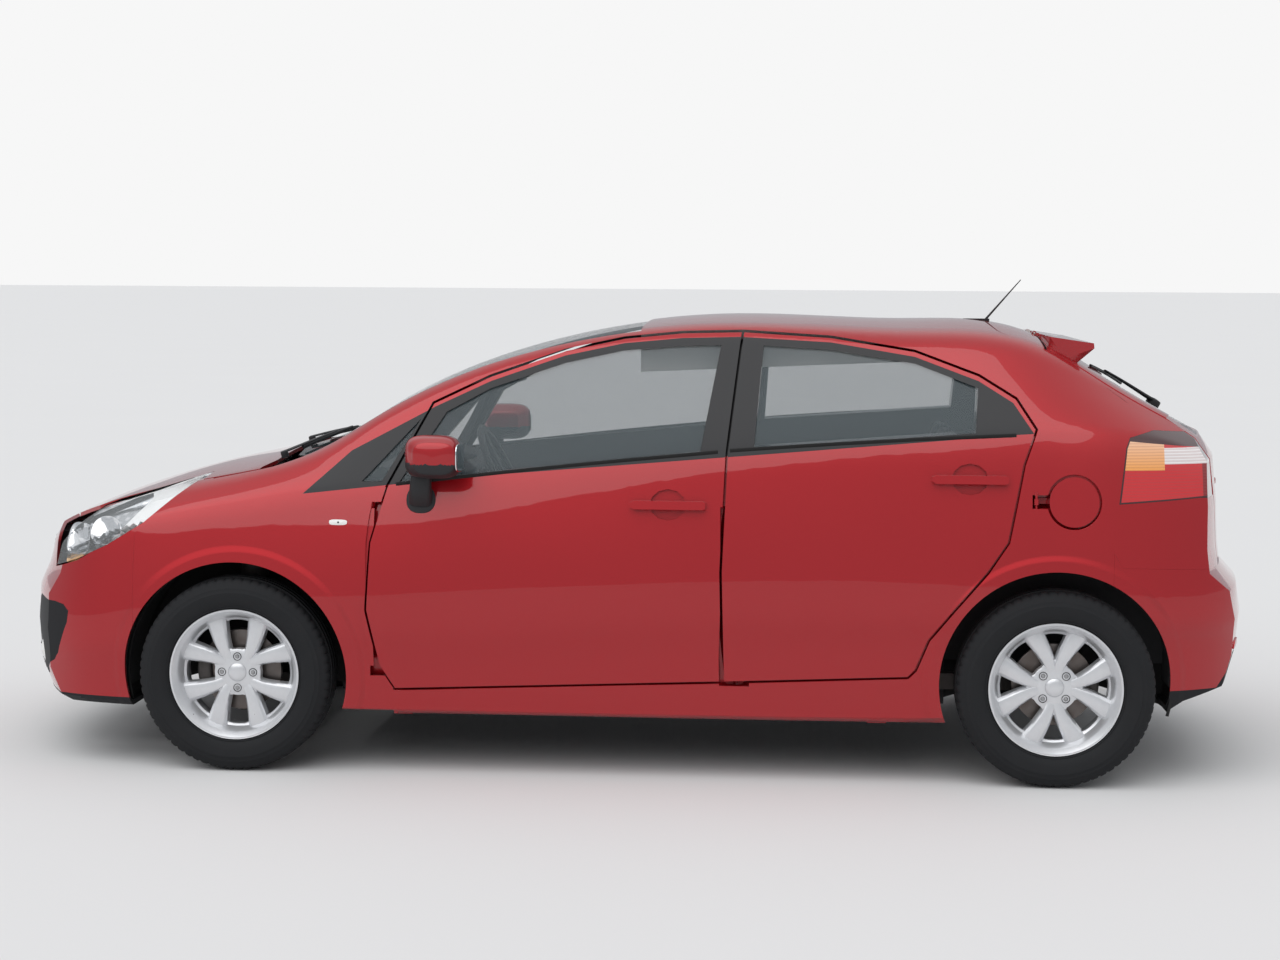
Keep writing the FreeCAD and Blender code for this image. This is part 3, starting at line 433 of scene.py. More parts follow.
def shadeByAngle(mesh, angle):
    # Smooth faces with a sharp edge wherever two of them meet at more than the angle
    mesh.polygons.foreach_set("use_smooth", np.ones(len(mesh.polygons), bool))
    mesh.set_sharp_from_angle(angle=math.radians(angle))


def gridFaces(rows, columns, closeRows=False, closeColumns=False):
    # Quads between neighbours of a grid of points, wrapped round where a direction is closed
    r = np.arange(rows if closeRows else rows - 1)
    c = np.arange(columns if closeColumns else columns - 1)
    a = (r[:, None] * columns + c[None, :]).ravel()
    b = (r[:, None] * columns + (c[None, :] + 1) % columns).ravel()
    d = (((r[:, None] + 1) % rows) * columns + c[None, :]).ravel()
    e = (((r[:, None] + 1) % rows) * columns + (c[None, :] + 1) % columns).ravel()
    return np.stack([a, b, e, d], 1)


def joinGrids(parts):
    # Several (points, faces) pairs as one
    points, faces, count = [], [], 0
    for vertices, quads in parts:
        vertices = np.asarray(vertices, float).reshape(-1, 3)
        points.append(vertices)
        faces += [[int(v) + count for v in quad]
                  for quad in (quads.tolist() if hasattr(quads, "tolist") else quads)]
        count += len(vertices)
    return np.concatenate(points), faces


def outward(piece):
    # Merged doubles, then normals that point out
    work = bmesh.new()
    work.from_mesh(piece.data)
    bmesh.ops.remove_doubles(work, verts=work.verts, dist=0.00002)
    bmesh.ops.recalc_face_normals(work, faces=work.faces)
    work.to_mesh(piece.data)
    work.free()
    return piece


def smoothThrough(points, count):
    # A curve through the points: cubics whose slope at a point is half the step between its neighbours
    p = np.asarray(points, float)
    before = np.vstack([2 * p[0] - p[1], p[:-1]])
    after = np.vstack([p[1:], 2 * p[-1] - p[-2]])
    slope = (after - before) / 2
    t = np.linspace(0, len(p) - 1, count)
    i = np.minimum(t.astype(int), len(p) - 2)
    u = (t - i)[:, None]
    return ((2 * u ** 3 - 3 * u ** 2 + 1) * p[i] + (u ** 3 - 2 * u ** 2 + u) * slope[i]
            + (3 * u ** 2 - 2 * u ** 3) * p[i + 1] + (u ** 3 - u ** 2) * slope[i + 1])


# The body's own form, for smooth highlights: its sections from nose to tail in millimetres, as
# x, sill y z, crease y z, flank y z, belt y z, roof corner y z, top z, and how far the corner is rounded
bodyForm = {
    "rows": [
        (2080, 440, 215, 470, 330, 478, 470, 440, 600, 400, 645, 662, 30),
        (1900, 640, 215, 660, 340, 662, 470, 612, 630, 545, 712, 748, 45),
        (1750, 745, 215, 768, 350, 772, 480, 728, 700, 655, 788, 815, 50),
        (1550, 800, 212, 824, 370, 830, 520, 786, 775, 706, 858, 884, 55),
        (1202, 820, 210, 846, 400, 855, 560, 806, 850, 724, 936, 968, 60),
        (950, 822, 208, 850, 405, 858, 590, 802, 896, 700, 1016, 1046, 60),
        (750, 822, 206, 850, 405, 859, 600, 800, 914, 668, 1136, 1168, 60),
        (450, 822, 205, 850, 410, 860, 620, 800, 945, 634, 1278, 1304, 65),
        (100, 822, 205, 850, 435, 860, 640, 800, 982, 616, 1372, 1396, 70),
        (-350, 822, 206, 850, 455, 860, 660, 800, 1032, 604, 1414, 1443, 75),
        (-900, 822, 210, 850, 475, 860, 670, 797, 1076, 594, 1398, 1431, 75),
        (-1330, 815, 230, 848, 480, 859, 670, 780, 1096, 582, 1352, 1390, 70),
        (-1560, 795, 260, 832, 480, 847, 660, 756, 1088, 562, 1232, 1262, 50),
        (-1720, 755, 275, 800, 480, 816, 650, 716, 1062, 566, 1146, 1166, 40),
        (-1880, 670, 290, 726, 480, 742, 640, 650, 990, 560, 1058, 1072, 35),
        (-2080, 480, 310, 520, 470, 540, 620, 470, 860, 420, 900, 912, 30),
    ],
    "nose": [(1900, 150), (1935, 186), (1985, 215), (2014, 300), (2022.5, 430), (2016, 540),
             (1985, 610), (1966, 690), (1925, 762), (1880, 830)],
    "tail": [(-1780, 190), (-1880, 262), (-1985, 300), (-2012, 400), (-2022.5, 520),
             (-2008, 610), (-1955, 668), (-1946, 740), (-1940, 870), (-1925, 1010),
             (-1880, 1075), (-1790, 1135)],
    "noseRadius": 1.500, "tailRadius": 2.600, "halfLength": 2.0225, "step": 0.02,
    "points": {"sill": 8, "flank": 24, "glass": 14, "corner": 12, "over": 16},  # on each stretch of a section
    "sideColumns": (0, 58), "topColumns": (32, 74), "profilePoints": 120,
}


def through(a, m, b, count):
    # The parabola through three points: each weight is 1 at its own point and 0 at the other two
    t = np.linspace(0, 1, count, endpoint=False)[None, :, None]
    return a[:, None] * (2 * t - 1) * (t - 1) + m[:, None] * 4 * t * (1 - t) + b[:, None] * t * (2 * t - 1)


def steered(a, m, b, count):
    # The curve from a to b that leaves and arrives along the lines to m
    t = np.linspace(0, 1, count, endpoint=False)[None, :, None]
    return a[:, None] * (1 - t) ** 2 + m[:, None] * 2 * t * (1 - t) + b[:, None] * t ** 2


def formGrid():
    # Every column of the table runs through its rows on cubics, and each station's section is drawn from it
    rows = np.array(bodyForm["rows"][::-1], float) / 1000
    x = np.arange(rows[0, 0], rows[-1, 0], bodyForm["step"])
    slope = np.gradient(rows, rows[:, 0], axis=0)
    i = np.clip(np.searchsorted(rows[:, 0], x, side="right") - 1, 0, len(rows) - 2)
    span = rows[i + 1, 0] - rows[i, 0]
    u = ((x - rows[i, 0]) / span)[:, None]
    span = span[:, None]
    c = ((2 * u ** 3 - 3 * u ** 2 + 1) * rows[i] + (u ** 3 - 2 * u ** 2 + u) * slope[i] * span
         + (3 * u ** 2 - 2 * u ** 3) * rows[i + 1] + (u ** 3 - u ** 2) * slope[i + 1] * span)
    sill, crease, flank, belt, corner = (c[:, k:k + 2] for k in (1, 3, 5, 7, 9))
    top, cut = c[:, 11], c[:, 12]
    drop = top - corner[:, 1]
    crown = (corner[:, 0] ** 2 + drop ** 2) / (2 * drop)
    side = (corner - belt) / np.linalg.norm(corner - belt, axis=1)[:, None]
    low = corner - side * cut[:, None]
    highY = corner[:, 0] - cut * np.sqrt(1 - (corner[:, 0] / crown) ** 2)
    high = np.stack([highY, top - crown + np.sqrt(crown ** 2 - highY ** 2)], 1)
    bulge = 0.018 * np.linalg.norm(corner - belt, axis=1)[:, None]
    glass = (belt + low) / 2 + np.stack([side[:, 1], -side[:, 0]], 1) * bulge
    count = bodyForm["points"]
    overY = highY[:, None] * np.linspace(1, 0, count["over"])[None, :]
    over = np.stack([overY, (top - crown)[:, None] + np.sqrt(crown[:, None] ** 2 - overY ** 2)], 2)
    section = np.concatenate([through(sill, (sill + crease) / 2 - [0.003, 0], crease, count["sill"]),
                              through(crease, flank, belt, count["flank"]),
                              through(belt, glass, low, count["glass"]),
                              steered(low, corner, high, count["corner"]), over], 1)
    along = np.gradient(section, bodyForm["step"], axis=0)
    across = np.gradient(section, axis=1)
    # A section's tangent crossed with the tangent along the car, then averaged over five neighbours
    normal = np.stack([across[..., 0] * along[..., 1] - across[..., 1] * along[..., 0], across[..., 1],
                       -across[..., 0]], 2)
    normal /= np.linalg.norm(normal, axis=2)[..., None]
    padded = np.pad(normal, ((0, 0), (2, 2), (0, 0)), mode="edge")
    normal = sum(w * padded[:, k:k + normal.shape[1]] for k, w in enumerate((1, 2, 3, 2, 1)))
    return x, section, normal / np.linalg.norm(normal, axis=2)[..., None]


formX, formSection, formNormal = formGrid()


def sectionNormal(points):
    # The form's normal beside each point, and how far the point lies from the form
    hand = np.where(points[:, 1] < 0, -1.0, 1.0)
    flat = np.stack([np.abs(points[:, 1]), points[:, 2]], 1)
    place = np.clip((points[:, 0] - formX[0]) / bodyForm["step"], 0, len(formX) - 1.001)
    i = place.astype(int)
    u = (place - i)[:, None, None]
    section = formSection[i] * (1 - u) + formSection[i + 1] * u
    away = np.linalg.norm(section - flat[:, None], axis=2)
    k = np.clip(away.argmin(1), 1, away.shape[1] - 2)
    n = np.arange(len(points))
    other = np.where(away[n, k - 1] < away[n, k + 1], k - 1, k + 1)
    share = (away[n, k] / (away[n, k] + away[n, other]))[:, None]
    u = u[:, 0]
    near = formNormal[i, k] * (1 - u) + formNormal[i + 1, k] * u
    far = formNormal[i, other] * (1 - u) + formNormal[i + 1, other] * u
    normal = near * (1 - share) + far * share
    normal[:, 1] *= hand
    return normal / np.linalg.norm(normal, axis=1)[:, None], away[n, k]


def endNormal(points):
    # The nose and the tail are profiles turned about upright axes
    result = np.zeros_like(points)
    away = np.ones(len(points))
    for hand, key in ((1, "nose"), (-1, "tail")):
        curve = smoothThrough(np.array(bodyForm[key]) / 1000, bodyForm["profilePoints"])
        radius = bodyForm[key + "Radius"]
        centre = hand * (bodyForm["halfLength"] - radius)
        reach = radius + hand * curve[:, 0] - bodyForm["halfLength"]
        rise = np.gradient(reach, curve[:, 1])
        pick = points[:, 0] * hand > 1.3
        p = points[pick]
        out = np.stack([p[:, 0] - centre, p[:, 1]], 1)
        length = np.linalg.norm(out, axis=1)
        normal = np.concatenate([out / length[:, None], -np.interp(p[:, 2], curve[:, 1], rise)[:, None]], 1)
        result[pick] = normal / np.linalg.norm(normal, axis=1)[:, None]
        away[pick] = np.abs(length - np.interp(p[:, 2], curve[:, 1], reach))
    return result, away


def formShading(mesh, limit=32.0, depth=0.045):
    # Faces that follow the body's form take its normals at their corners, and the rest keep their own
    faces, corners = len(mesh.polygons), len(mesh.loops)
    centre, normal = np.zeros(faces * 3), np.zeros(faces * 3)
    mesh.polygons.foreach_get("center", centre)
    mesh.polygons.foreach_get("normal", normal)
    centre, normal = centre.reshape(-1, 3), normal.reshape(-1, 3)
    total, vertex = np.zeros(faces, np.int32), np.zeros(corners, np.int32)
    mesh.polygons.foreach_get("loop_total", total)
    mesh.loops.foreach_get("vertex_index", vertex)
    points, own = np.zeros(len(mesh.vertices) * 3), np.zeros(corners * 3)
    mesh.vertices.foreach_get("co", points)
    mesh.corner_normals.foreach_get("vector", own)
    points, own = points.reshape(-1, 3), own.reshape(-1, 3)
    face = np.repeat(np.arange(faces), total)
    best, result = np.full(faces, math.cos(math.radians(limit))), own
    for form in (sectionNormal, endNormal):
        there, away = form(centre)
        match = (there * normal).sum(1)
        better = (np.abs(match) > best) & (away < depth)
        best = np.where(better, np.abs(match), best)
        smooth = form(points)[0][vertex] * np.sign(match)[face][:, None]
        result = np.where(better[face][:, None], smooth, result)
    mesh.normals_split_custom_set(result.tolist())


def valueAt(key, wanted, value, columns, x):
    # On each station's section, the value where the key first passes the wanted one
    place = np.clip((np.asarray(x, float) - formX[0]) / bodyForm["step"], 0, len(formX) - 1.001)
    i = place.astype(int)
    u = (place - i)[:, None, None]
    section = (formSection[i] * (1 - u) + formSection[i + 1] * u)[:, columns[0]:columns[1]]
    line = section[..., key]
    rising = line[:, -1] > line[:, 0]
    passed = np.where(rising[:, None], line < wanted[:, None], line > wanted[:, None]).sum(1)
    k = np.clip(passed - 1, 0, line.shape[1] - 2)
    n = np.arange(len(k))
    share = np.clip((wanted - line[n, k]) / (line[n, k + 1] - line[n, k]), -0.5, 1.5)
    return section[n, k, value] * (1 - share) + section[n, k + 1, value] * share


def onSide(x, z, hand, out=0.0):
    # The body's flank beside a point of the side view, moved out by the given way
    x, z = np.broadcast_arrays(np.asarray(x, float), np.asarray(z, float))
    y = valueAt(1, z.ravel(), 0, bodyForm["sideColumns"], x.ravel()).reshape(x.shape)
    points = np.stack([x, hand * y, z], -1)
    normal = sectionNormal(points.reshape(-1, 3))[0].reshape(points.shape)
    return points + normal * np.asarray(out)[..., None]


def onTop(x, y, out=0.0):
    # The body's upper face above a point of the plan
    x, y = np.broadcast_arrays(np.asarray(x, float), np.asarray(y, float))
    z = valueAt(0, np.abs(y).ravel(), 1, bodyForm["topColumns"], x.ravel()).reshape(x.shape)
    points = np.stack([x, y, z], -1)
    normal = sectionNormal(points.reshape(-1, 3))[0].reshape(points.shape)
    return points + normal * np.asarray(out)[..., None]


def onEnd(y, z, hand, out=0.0):
    # The nose or the tail behind a point of the front view: centre + hand * root of (reach^2 - y^2)
    y, z = np.broadcast_arrays(np.asarray(y, float), np.asarray(z, float))
    key = "nose" if hand > 0 else "tail"
    curve = smoothThrough(np.array(bodyForm[key]) / 1000, bodyForm["profilePoints"])
    radius = bodyForm[key + "Radius"]
    reach = radius + np.interp(z, curve[:, 1], hand * curve[:, 0]) - bodyForm["halfLength"]
    x = hand * (bodyForm["halfLength"] - radius + np.sqrt(reach ** 2 - y ** 2))
    points = np.stack([x, y, z], -1)
    normal = endNormal(points.reshape(-1, 3))[0].reshape(points.shape)
    return points + normal * np.asarray(out)[..., None]


def panelCopy(node, name, materials, choose=None, angle=26.0):
    # A node's own mesh with its doubles merged, shaded as the body's form, standing for the node
    source = nodes[node].data
    mesh = bpy.data.meshes.new(name)
    work = bmesh.new()
    work.from_mesh(source)
    bmesh.ops.remove_doubles(work, verts=work.verts, dist=0.00002)
    bmesh.ops.dissolve_degenerate(work, edges=work.edges, dist=0.00001)
    work.to_mesh(mesh)
    work.free()
    mesh.materials.clear()
    for item in materials:
        mesh.materials.append(item)
    count = len(mesh.polygons)
    index = np.zeros(count, np.int32)
    if choose:
        centre = np.zeros(count * 3)
        normal = np.zeros(count * 3)
        mesh.polygons.foreach_get("center", centre)
        mesh.polygons.foreach_get("normal", normal)
        index = choose(centre.reshape(-1, 3), normal.reshape(-1, 3)).astype(np.int32)
    mesh.polygons.foreach_set("material_index", index)
    shadeByAngle(mesh, angle)
    formShading(mesh)
    piece = bpy.data.objects.new(name, mesh)
    bpy.context.scene.collection.objects.link(piece)
    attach(piece, nodes[node]["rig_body"])
    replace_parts(piece, node)
    return piece


def dress(node, material):
    # A node that keeps its own mesh only gets its material
    nodes[node].data.materials.clear()
    nodes[node].data.materials.append(material)


print("panels")


def cabinSide(centre, normal):
    # 1 where a face looks towards the middle of the car
    return (sectionNormal(centre)[0] * normal).sum(1) < -0.25


def edgesToo(centre, normal):
    # 1 on every face but those that look out of the car
    return (sectionNormal(centre)[0] * normal).sum(1) < 0.5


def roofLining(centre, normal):
    # 1 on the roof's lower faces and on its upright side flanges
    return (normal[:, 2] < -0.35) | (np.abs(normal[:, 1]) > 0.97)


def underSide(centre, normal):
    # 1 where a face looks down
    return normal[:, 2] < -0.35


for side in ("left", "right"):
    for node in ("door_front_", "door_rear_", "body_side_"):
        panelCopy(node + side, node + side + "_skin", [finish["side"], finish["inner"]], cabinSide)
    panelCopy("wing_" + side, "wing_" + side + "_skin", [finish["side"], finish["underseal"]],
                      cabinSide)
    for node in ("door_glass_front_", "door_glass_rear_", "quarter_glass_"):
        panelCopy(node + side, node + side + "_pane", [finish["glass"], finish["glassInside"]],
                          edgesToo)
    panelCopy("headlamp_" + side, "headlamp_" + side + "_lens", [finish["lens"]])
    panelCopy("tail_lamp_" + side, "tail_lamp_" + side + "_lens", [finish["tail"]])
panelCopy("bonnet", "bonnet_skin", [finish["paint"], finish["underseal"]], underSide)
panelCopy("roof", "roof_skin", [finish["paint"], finish["headliner"]], roofLining)
for node in ("front_bumper", "rear_bumper", "spoiler", "fuel_flap"):
    panelCopy(node, node + "_skin", [finish["bumper" if "bumper" in node else "paint"]])
panelCopy("tailgate", "tailgate_skin", [finish["paint"], finish["inner"]],
                  lambda centre, normal: normal[:, 0] * 0.8 - normal[:, 2] * 0.6 > 0.4)
for node in ("windscreen", "tailgate_glass"):
    panelCopy(node, node + "_pane", [finish["glass"], finish["glassInside"]], underSide)
plainNodes = {
    "underseal": ("floor_pan", "front_structure", "rear_structure"), "steel": ("exhaust",),
    "inner": ("dashboard",), "iron": ("engine_block", "front_subframe", "rear_axle", "knuckle_left",
                                      "knuckle_right", "front_struts"),
    "trim": ("aerial", "steering_wheel", "front_grille"),
}
for item, alike in plainNodes.items():
    for node in alike:
        dress(node, finish[item])


# Wheels and tyres

wheelShape = {
    "hubZ": 0.308, "frontX": 1.2025, "rearX": -1.3675, "track": 0.760, "spokes": 8, "face": 0.034,
    "lugCircle": 0.050, "windowOut": 0.167, "spokeFrom": 0.046, "spokeTo": 0.1985, "bolts": 4,
    "frontTurn": 0.0, "rearTurn": math.pi / 4,
}
tyreShape = {"radius": 0.308, "pitches": 66, "stepsEach": 4, "grooves": (-0.046, -0.016, 0.016, 0.046),
             "grooveHalf": 0.0035, "grooveDepth": 0.0065, "slotDepth": 0.004, "slotFrom": 0.050,
             "treadFrom": 0.2955, "treadHalf": 0.0745, "crown": 0.0055,
             "beads": (0.0, 0.031, 0.055, 0.061, 0.068)}


def lathe(profile, x, y, z, segments=96, closed=True):
    # A profile of (radius, y) points turned about an axle that runs along Y
    p = np.asarray(profile, float)
    turn = np.linspace(0, 2 * math.pi, segments, endpoint=False)
    points = np.stack([x + p[None, :, 0] * np.sin(turn)[:, None], y + p[None, :, 1] + 0 * turn[:, None],
                       z + p[None, :, 0] * np.cos(turn)[:, None]], 2)
    return points, gridFaces(segments, len(p), True, closed)


def treadedTyre():
    # The section is carried round the axle; tread grooves and shoulder slots sink where their masks say
    s = tyreShape
    side = np.array([(0.1925, 0.066), (0.207, 0.0705), (0.213, 0.0800), (0.2155, 0.0790), (0.224, 0.0860),
                     (0.240, 0.0912), (0.262, 0.0930), (0.263, 0.0922), (0.276, 0.0912), (0.277, 0.0902),
                     (0.289, 0.0862), (0.297, 0.0810), (0.3025, 0.0745)])
    edges = [g + share * s["grooveHalf"] for g in s["grooves"] if g > 0 for share in (-1.6, -1, 1, 1.6)]
    across = np.sort(np.concatenate([s["beads"], edges]))
    crown = s["radius"] - s["crown"] * (across / s["treadHalf"]) ** 3.2
    tread = np.stack([crown, across], 1)[::-1]
    half = np.vstack([side, tread])
    profile = np.vstack([half, (half * [1, -1])[-2::-1]])
    count = s["pitches"] * s["stepsEach"]
    turn = np.arange(count) * 2 * math.pi / count
    step = np.arange(count) % s["stepsEach"]
    radius = profile[None, :, 0] + 0 * turn[:, None]
    width = profile[None, :, 1] + 0 * turn[:, None]
    onTread = profile[:, 0] > s["treadFrom"]
    groove = np.zeros(len(profile), bool)
    for g in s["grooves"]:
        groove |= np.abs(profile[:, 1] - g) < s["grooveHalf"] * 1.1
    slot = (step == 0)[:, None] & (onTread & (np.abs(profile[:, 1]) > s["slotFrom"]))[None, :]
    radius = radius - s["grooveDepth"] * (groove & onTread)[None, :]
    radius = radius - s["slotDepth"] * slot * ~groove[None, :]
    points = np.stack([radius * np.sin(turn)[:, None], width, radius * np.cos(turn)[:, None]], 2)
    return points, gridFaces(count, len(profile), True, True)


def spokeBar(index):
    # One spoke: a section with a flat face, sloped edges and deep sides, leaning towards its neighbour
    w = wheelShape
    t = np.linspace(0, 1, 15)
    radius = w["spokeFrom"] + (w["spokeTo"] - w["spokeFrom"]) * t
    lug = index // 2 * math.pi / 2
    hand = 1 if index % 2 == 0 else -1
    lean = np.radians(22.5) + np.radians(8.5) * np.clip((0.175 - radius) / 0.095, 0, 1.25) ** 1.3
    angle = lug + hand * lean
    faceHalf = 0.0120 + 0.0135 * t
    edge = 0.0035 + 0.0065 * t
    wall = edge + 0.003
    drop = w["face"] - 0.006 * (1 - t) ** 2 + 0.004 * np.sin(math.pi * t)
    sag = 0.008 + 0.002 * t
    back = 0.030 + 0.012 * t
    across = np.stack([-faceHalf - wall, -faceHalf - edge, -faceHalf, -faceHalf + 0.002, 0 * t,
                       faceHalf - 0.002, faceHalf, faceHalf + edge, faceHalf + wall], 1)
    deep = np.stack([drop - back, drop - sag, drop - 0.0008, drop, drop + 0.0004, drop, drop - 0.0008,
                     drop - sag, drop - back], 1)
    x = radius[:, None] * np.sin(angle)[:, None] + across * np.cos(angle)[:, None]
    z = radius[:, None] * np.cos(angle)[:, None] - across * np.sin(angle)[:, None]
    return np.stack([x, deep, z], 2), gridFaces(len(t), deep.shape[1], False, True)


def ringOf(turn, rows):
    # A closed ring about the axle from rows of (radius, y), where a radius may change with the turn
    radius = np.stack([0 * turn + r for r, y in rows], 1)
    width = np.stack([0 * turn + y for r, y in rows], 1)
    points = np.stack([radius * np.sin(turn)[:, None], width, radius * np.cos(turn)[:, None]], 2)
    return points, gridFaces(len(turn), len(rows), True, True)


def rimFace():
    # The ring between the spokes' ends and the flange: its inner edge bulges inwards beside each spoke
    w = wheelShape
    turn = np.arange(384) * 2 * math.pi / 384
    phase = np.abs(((turn / (math.pi / 4)) % 1) - 0.5) * 2
    inner = w["windowOut"] - 0.016 * np.clip(1.25 * (1 - phase) - 0.35, 0, 1) ** 1.6
    return ringOf(turn, [(inner, 0.000), (inner, 0.016), (inner + 0.003, 0.0195),
                         (0.180, 0.026), (0.190, 0.038), (0.196, 0.0530), (0.1985, 0.0600), (0.2005, 0.0680),
                         (0.2045, 0.0750), (0.2065, 0.0760), (0.2070, 0.0735), (0.2035, 0.0690),
                         (0.1900, 0.010), (0.176, -0.002)])


def hubPlate():
    # The plate that carries the lugs: it reaches further out at the spokes than between them
    w = wheelShape
    turn = np.arange(256) * 2 * math.pi / 256
    quarter = np.abs(((turn / (math.pi / 2) + 0.5) % 1) - 0.5) * 4
    edge = 0.0745 + 0.013 * np.clip(quarter - 0.55, 0, 1.0) ** 0.8
    y = w["face"] - 0.006
    return ringOf(turn, [(0.030, y + 0.002), (0.040, y + 0.0015), (edge - 0.006, y),
                         (edge - 0.001, y - 0.002), (edge, y - 0.006), (edge, y - 0.034), (0.030, y - 0.034)])


def placed(points, x, side, turn=0.0):
    # A wheel piece, modelled about the origin with its face to +Y, turned about the axle and set in its place
    p = np.asarray(points, float).reshape(-1, 3)
    c, s = math.cos(turn), math.sin(turn)
    w = wheelShape
    px, pz = p[:, 0] * c + p[:, 2] * s, p[:, 2] * c - p[:, 0] * s
    return np.stack([px + x, side * (p[:, 1] + w["track"]), pz + w["hubZ"]], 1)


def flipped(faces, side):
    # The right side is a mirror image, so its faces run the other way round
    return faces if side > 0 else np.asarray(faces)[:, ::-1]


def boltAndSeat(angle):
    # A wheel bolt's head and the well that it sits in, which is coloured black as painted shade round the
    # bolt
    w = wheelShape
    x, z, y = w["lugCircle"] * math.sin(angle), w["lugCircle"] * math.cos(angle), w["face"]
    well = [(0.0135, -0.0050), (0.0128, -0.0022), (0.0110, -0.0040), (0.0105, -0.0150), (0.0001, -0.0152),
            (0.0001, -0.0300), (0.0135, -0.0300)]
    head = [(0.0001, -0.0020), (0.0050, -0.0022), (0.0078, -0.0050), (0.0082, -0.0160), (0.0001, -0.0165)]
    return lathe(head, x, y, z, 6), lathe(well, x, y, z, 24)


def buildWheel(end, sideName):
    # Tyre, alloy, bolts, their wells in black painted shade and the disc of one wheel
    side = 1 if sideName == "left" else -1
    w = wheelShape
    x, turn = w[end + "X"], w[end + "Turn"]
    label = end + "_" + sideName
    body = "wheel_" + label

    def piece(name, parts, turned, material, angle, slot):
        points, faces = joinGrids([(p, flipped(f, side)) for p, f in parts])
        made = meshObject(name + "_" + label, placed(points, x, side, turned), faces, material, body, angle)
        outward(made)
        return made

    points, faces = treadedTyre()
    tyre = meshObject("tyre_tread_" + label, placed(points, x, side), faces, finish["rubber"], body, 38)
    outward(tyre)
    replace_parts(tyre, "tyre_" + label)
    barrel = lathe([(0.2065, 0.0755), (0.2035, 0.0700), (0.1925, 0.0665), (0.1890, 0.0560), (0.1760, 0.020),
                    (0.1740, -0.042), (0.1900, -0.0670), (0.2055, -0.0710), (0.2070, -0.0755),
                    (0.2040, -0.0770), (0.1880, -0.0700), (0.1700, -0.0430), (0.1715, 0.0150),
                    (0.1845, 0.0560), (0.1900, 0.0640), (0.2010, 0.0760)], 0, 0, 0, 128)
    cap = lathe([(0.0001, 0.0035), (0.014, 0.0030), (0.0235, 0.0012), (0.0280, -0.0018), (0.0290, -0.0045),
                 (0.0315, -0.0052), (0.0315, -0.0300), (0.0001, -0.0300)], 0, w["face"], 0, 64)
    parts = [spokeBar(k) for k in range(w["spokes"])] + [rimFace(), hubPlate(), barrel, cap]
    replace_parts(piece("alloy", parts, turn, finish["silver"], 32, "alloy"), "wheel_" + label)
    heads, wells = zip(*[boltAndSeat(k * 2 * math.pi / w["bolts"]) for k in range(w["bolts"])])
    piece("wheel_bolts", heads, turn, finish["steel"], 30, "steel")
    # Black wells round the bolts: painted shade in the recesses of the silver alloy
    piece("bolt_wells", wells, turn, finish["frame"], 30, "trim")
    ring = [(0.062, -0.028), (0.128, -0.028), (0.128, -0.050), (0.062, -0.050)]
    bell = [(0.0001, -0.004), (0.060, -0.004), (0.066, -0.010), (0.070, -0.030), (0.0001, -0.034)]
    disc = [lathe(ring, 0, 0, 0, 96), lathe(bell, 0, 0, 0, 64)]
    piece("brake_disc", disc, 0.0, finish["disc"], 30, "iron")


print("wheels")
for endName in ("front", "rear"):
    for sideName in ("left", "right"):
        buildWheel(endName, sideName)


# Pieces laid on the body

def rounded(turn, power):
    # A superellipse: cosine and sine, each drawn to the power 2/n with its sign kept
    c, s = np.cos(turn), np.sin(turn)
    return np.sign(c) * np.abs(c) ** (2 / power), np.sign(s) * np.abs(s) ** (2 / power)


def button(surface, halfU, halfV, thick, crown=0.0, power=2.0, turned=0.0, segments=56, under=0.002):
    # A low pad on a surface: its height is thick + crown * (1 - r squared), and its rim is rounded off
    turn = np.linspace(0, 2 * math.pi, segments, endpoint=False)
    c, s = rounded(turn, power)
    r = np.array([0.001, 0.25, 0.5, 0.75, 0.90, 0.96, 0.99, 1.0, 1.0, 0.5, 0.001])
    rise = np.array([1, 1, 1, 1, 1, 0.93, 0.75, 0.5, 0, 0, 0])
    out = np.where(rise > 0, thick * rise + crown * (1 - r ** 2), -under)
    u, v = r[:, None] * c * halfU, r[:, None] * s * halfV
    flat = np.cos(turned), np.sin(turned)
    points = surface(u * flat[0] - v * flat[1], u * flat[1] + v * flat[0], out[:, None] + 0 * u)
    return points, gridFaces(len(r), segments, False, True)


def dish(surface, halfU, halfV, depth, power=2.0, segments=56, start=0.0):
    # A reflector: a bowl whose depth is depth * (1 - r squared), with a thin wall behind it
    turn = np.linspace(0, 2 * math.pi, segments, endpoint=False)
    c, s = rounded(turn, power)
    r = np.concatenate([np.linspace(0.001, 1.0, 12), [1.04, 1.04], np.linspace(1.0, 0.001, 6)])
    out = start - depth * (1 - np.minimum(r, 1) ** 2)
    out[12] = start
    out[13:] -= 0.003
    u, v = r[:, None] * c * halfU, r[:, None] * s * halfV
    return surface(u, v, out[:, None] + 0 * u), gridFaces(len(r), segments, False, True)


def strip(path, up, width, height, power=2.6, segments=14, taper=None):
    # A bar: a superellipse carried along a path, its width square to the path and to up
    p = np.asarray(path, float)
    along = np.gradient(p, axis=0)
    along /= np.linalg.norm(along, axis=1)[:, None]
    up = np.broadcast_to(np.asarray(up, float), p.shape)
    across = np.cross(along, up)
    across /= np.linalg.norm(across, axis=1)[:, None]
    rise = np.cross(across, along)
    turn = np.linspace(0, 2 * math.pi, segments, endpoint=False)
    c, s = rounded(turn, power)
    size = np.ones(len(p)) if taper is None else np.asarray(taper, float)
    wide = (size[:, None] * c * width / 2)[..., None] * across[:, None]
    high = (size[:, None] * s * height / 2)[..., None] * rise[:, None]
    body = p[:, None] + wide + high
    grid = np.concatenate([np.repeat(p[:1], segments, 0)[None], body, np.repeat(p[-1:], segments, 0)[None]])
    return grid, gridFaces(len(p) + 2, segments, False, True)


def between(a, b, count):
    # Points on the straight line from a to b
    return np.linspace(np.asarray(a, float), np.asarray(b, float), count)


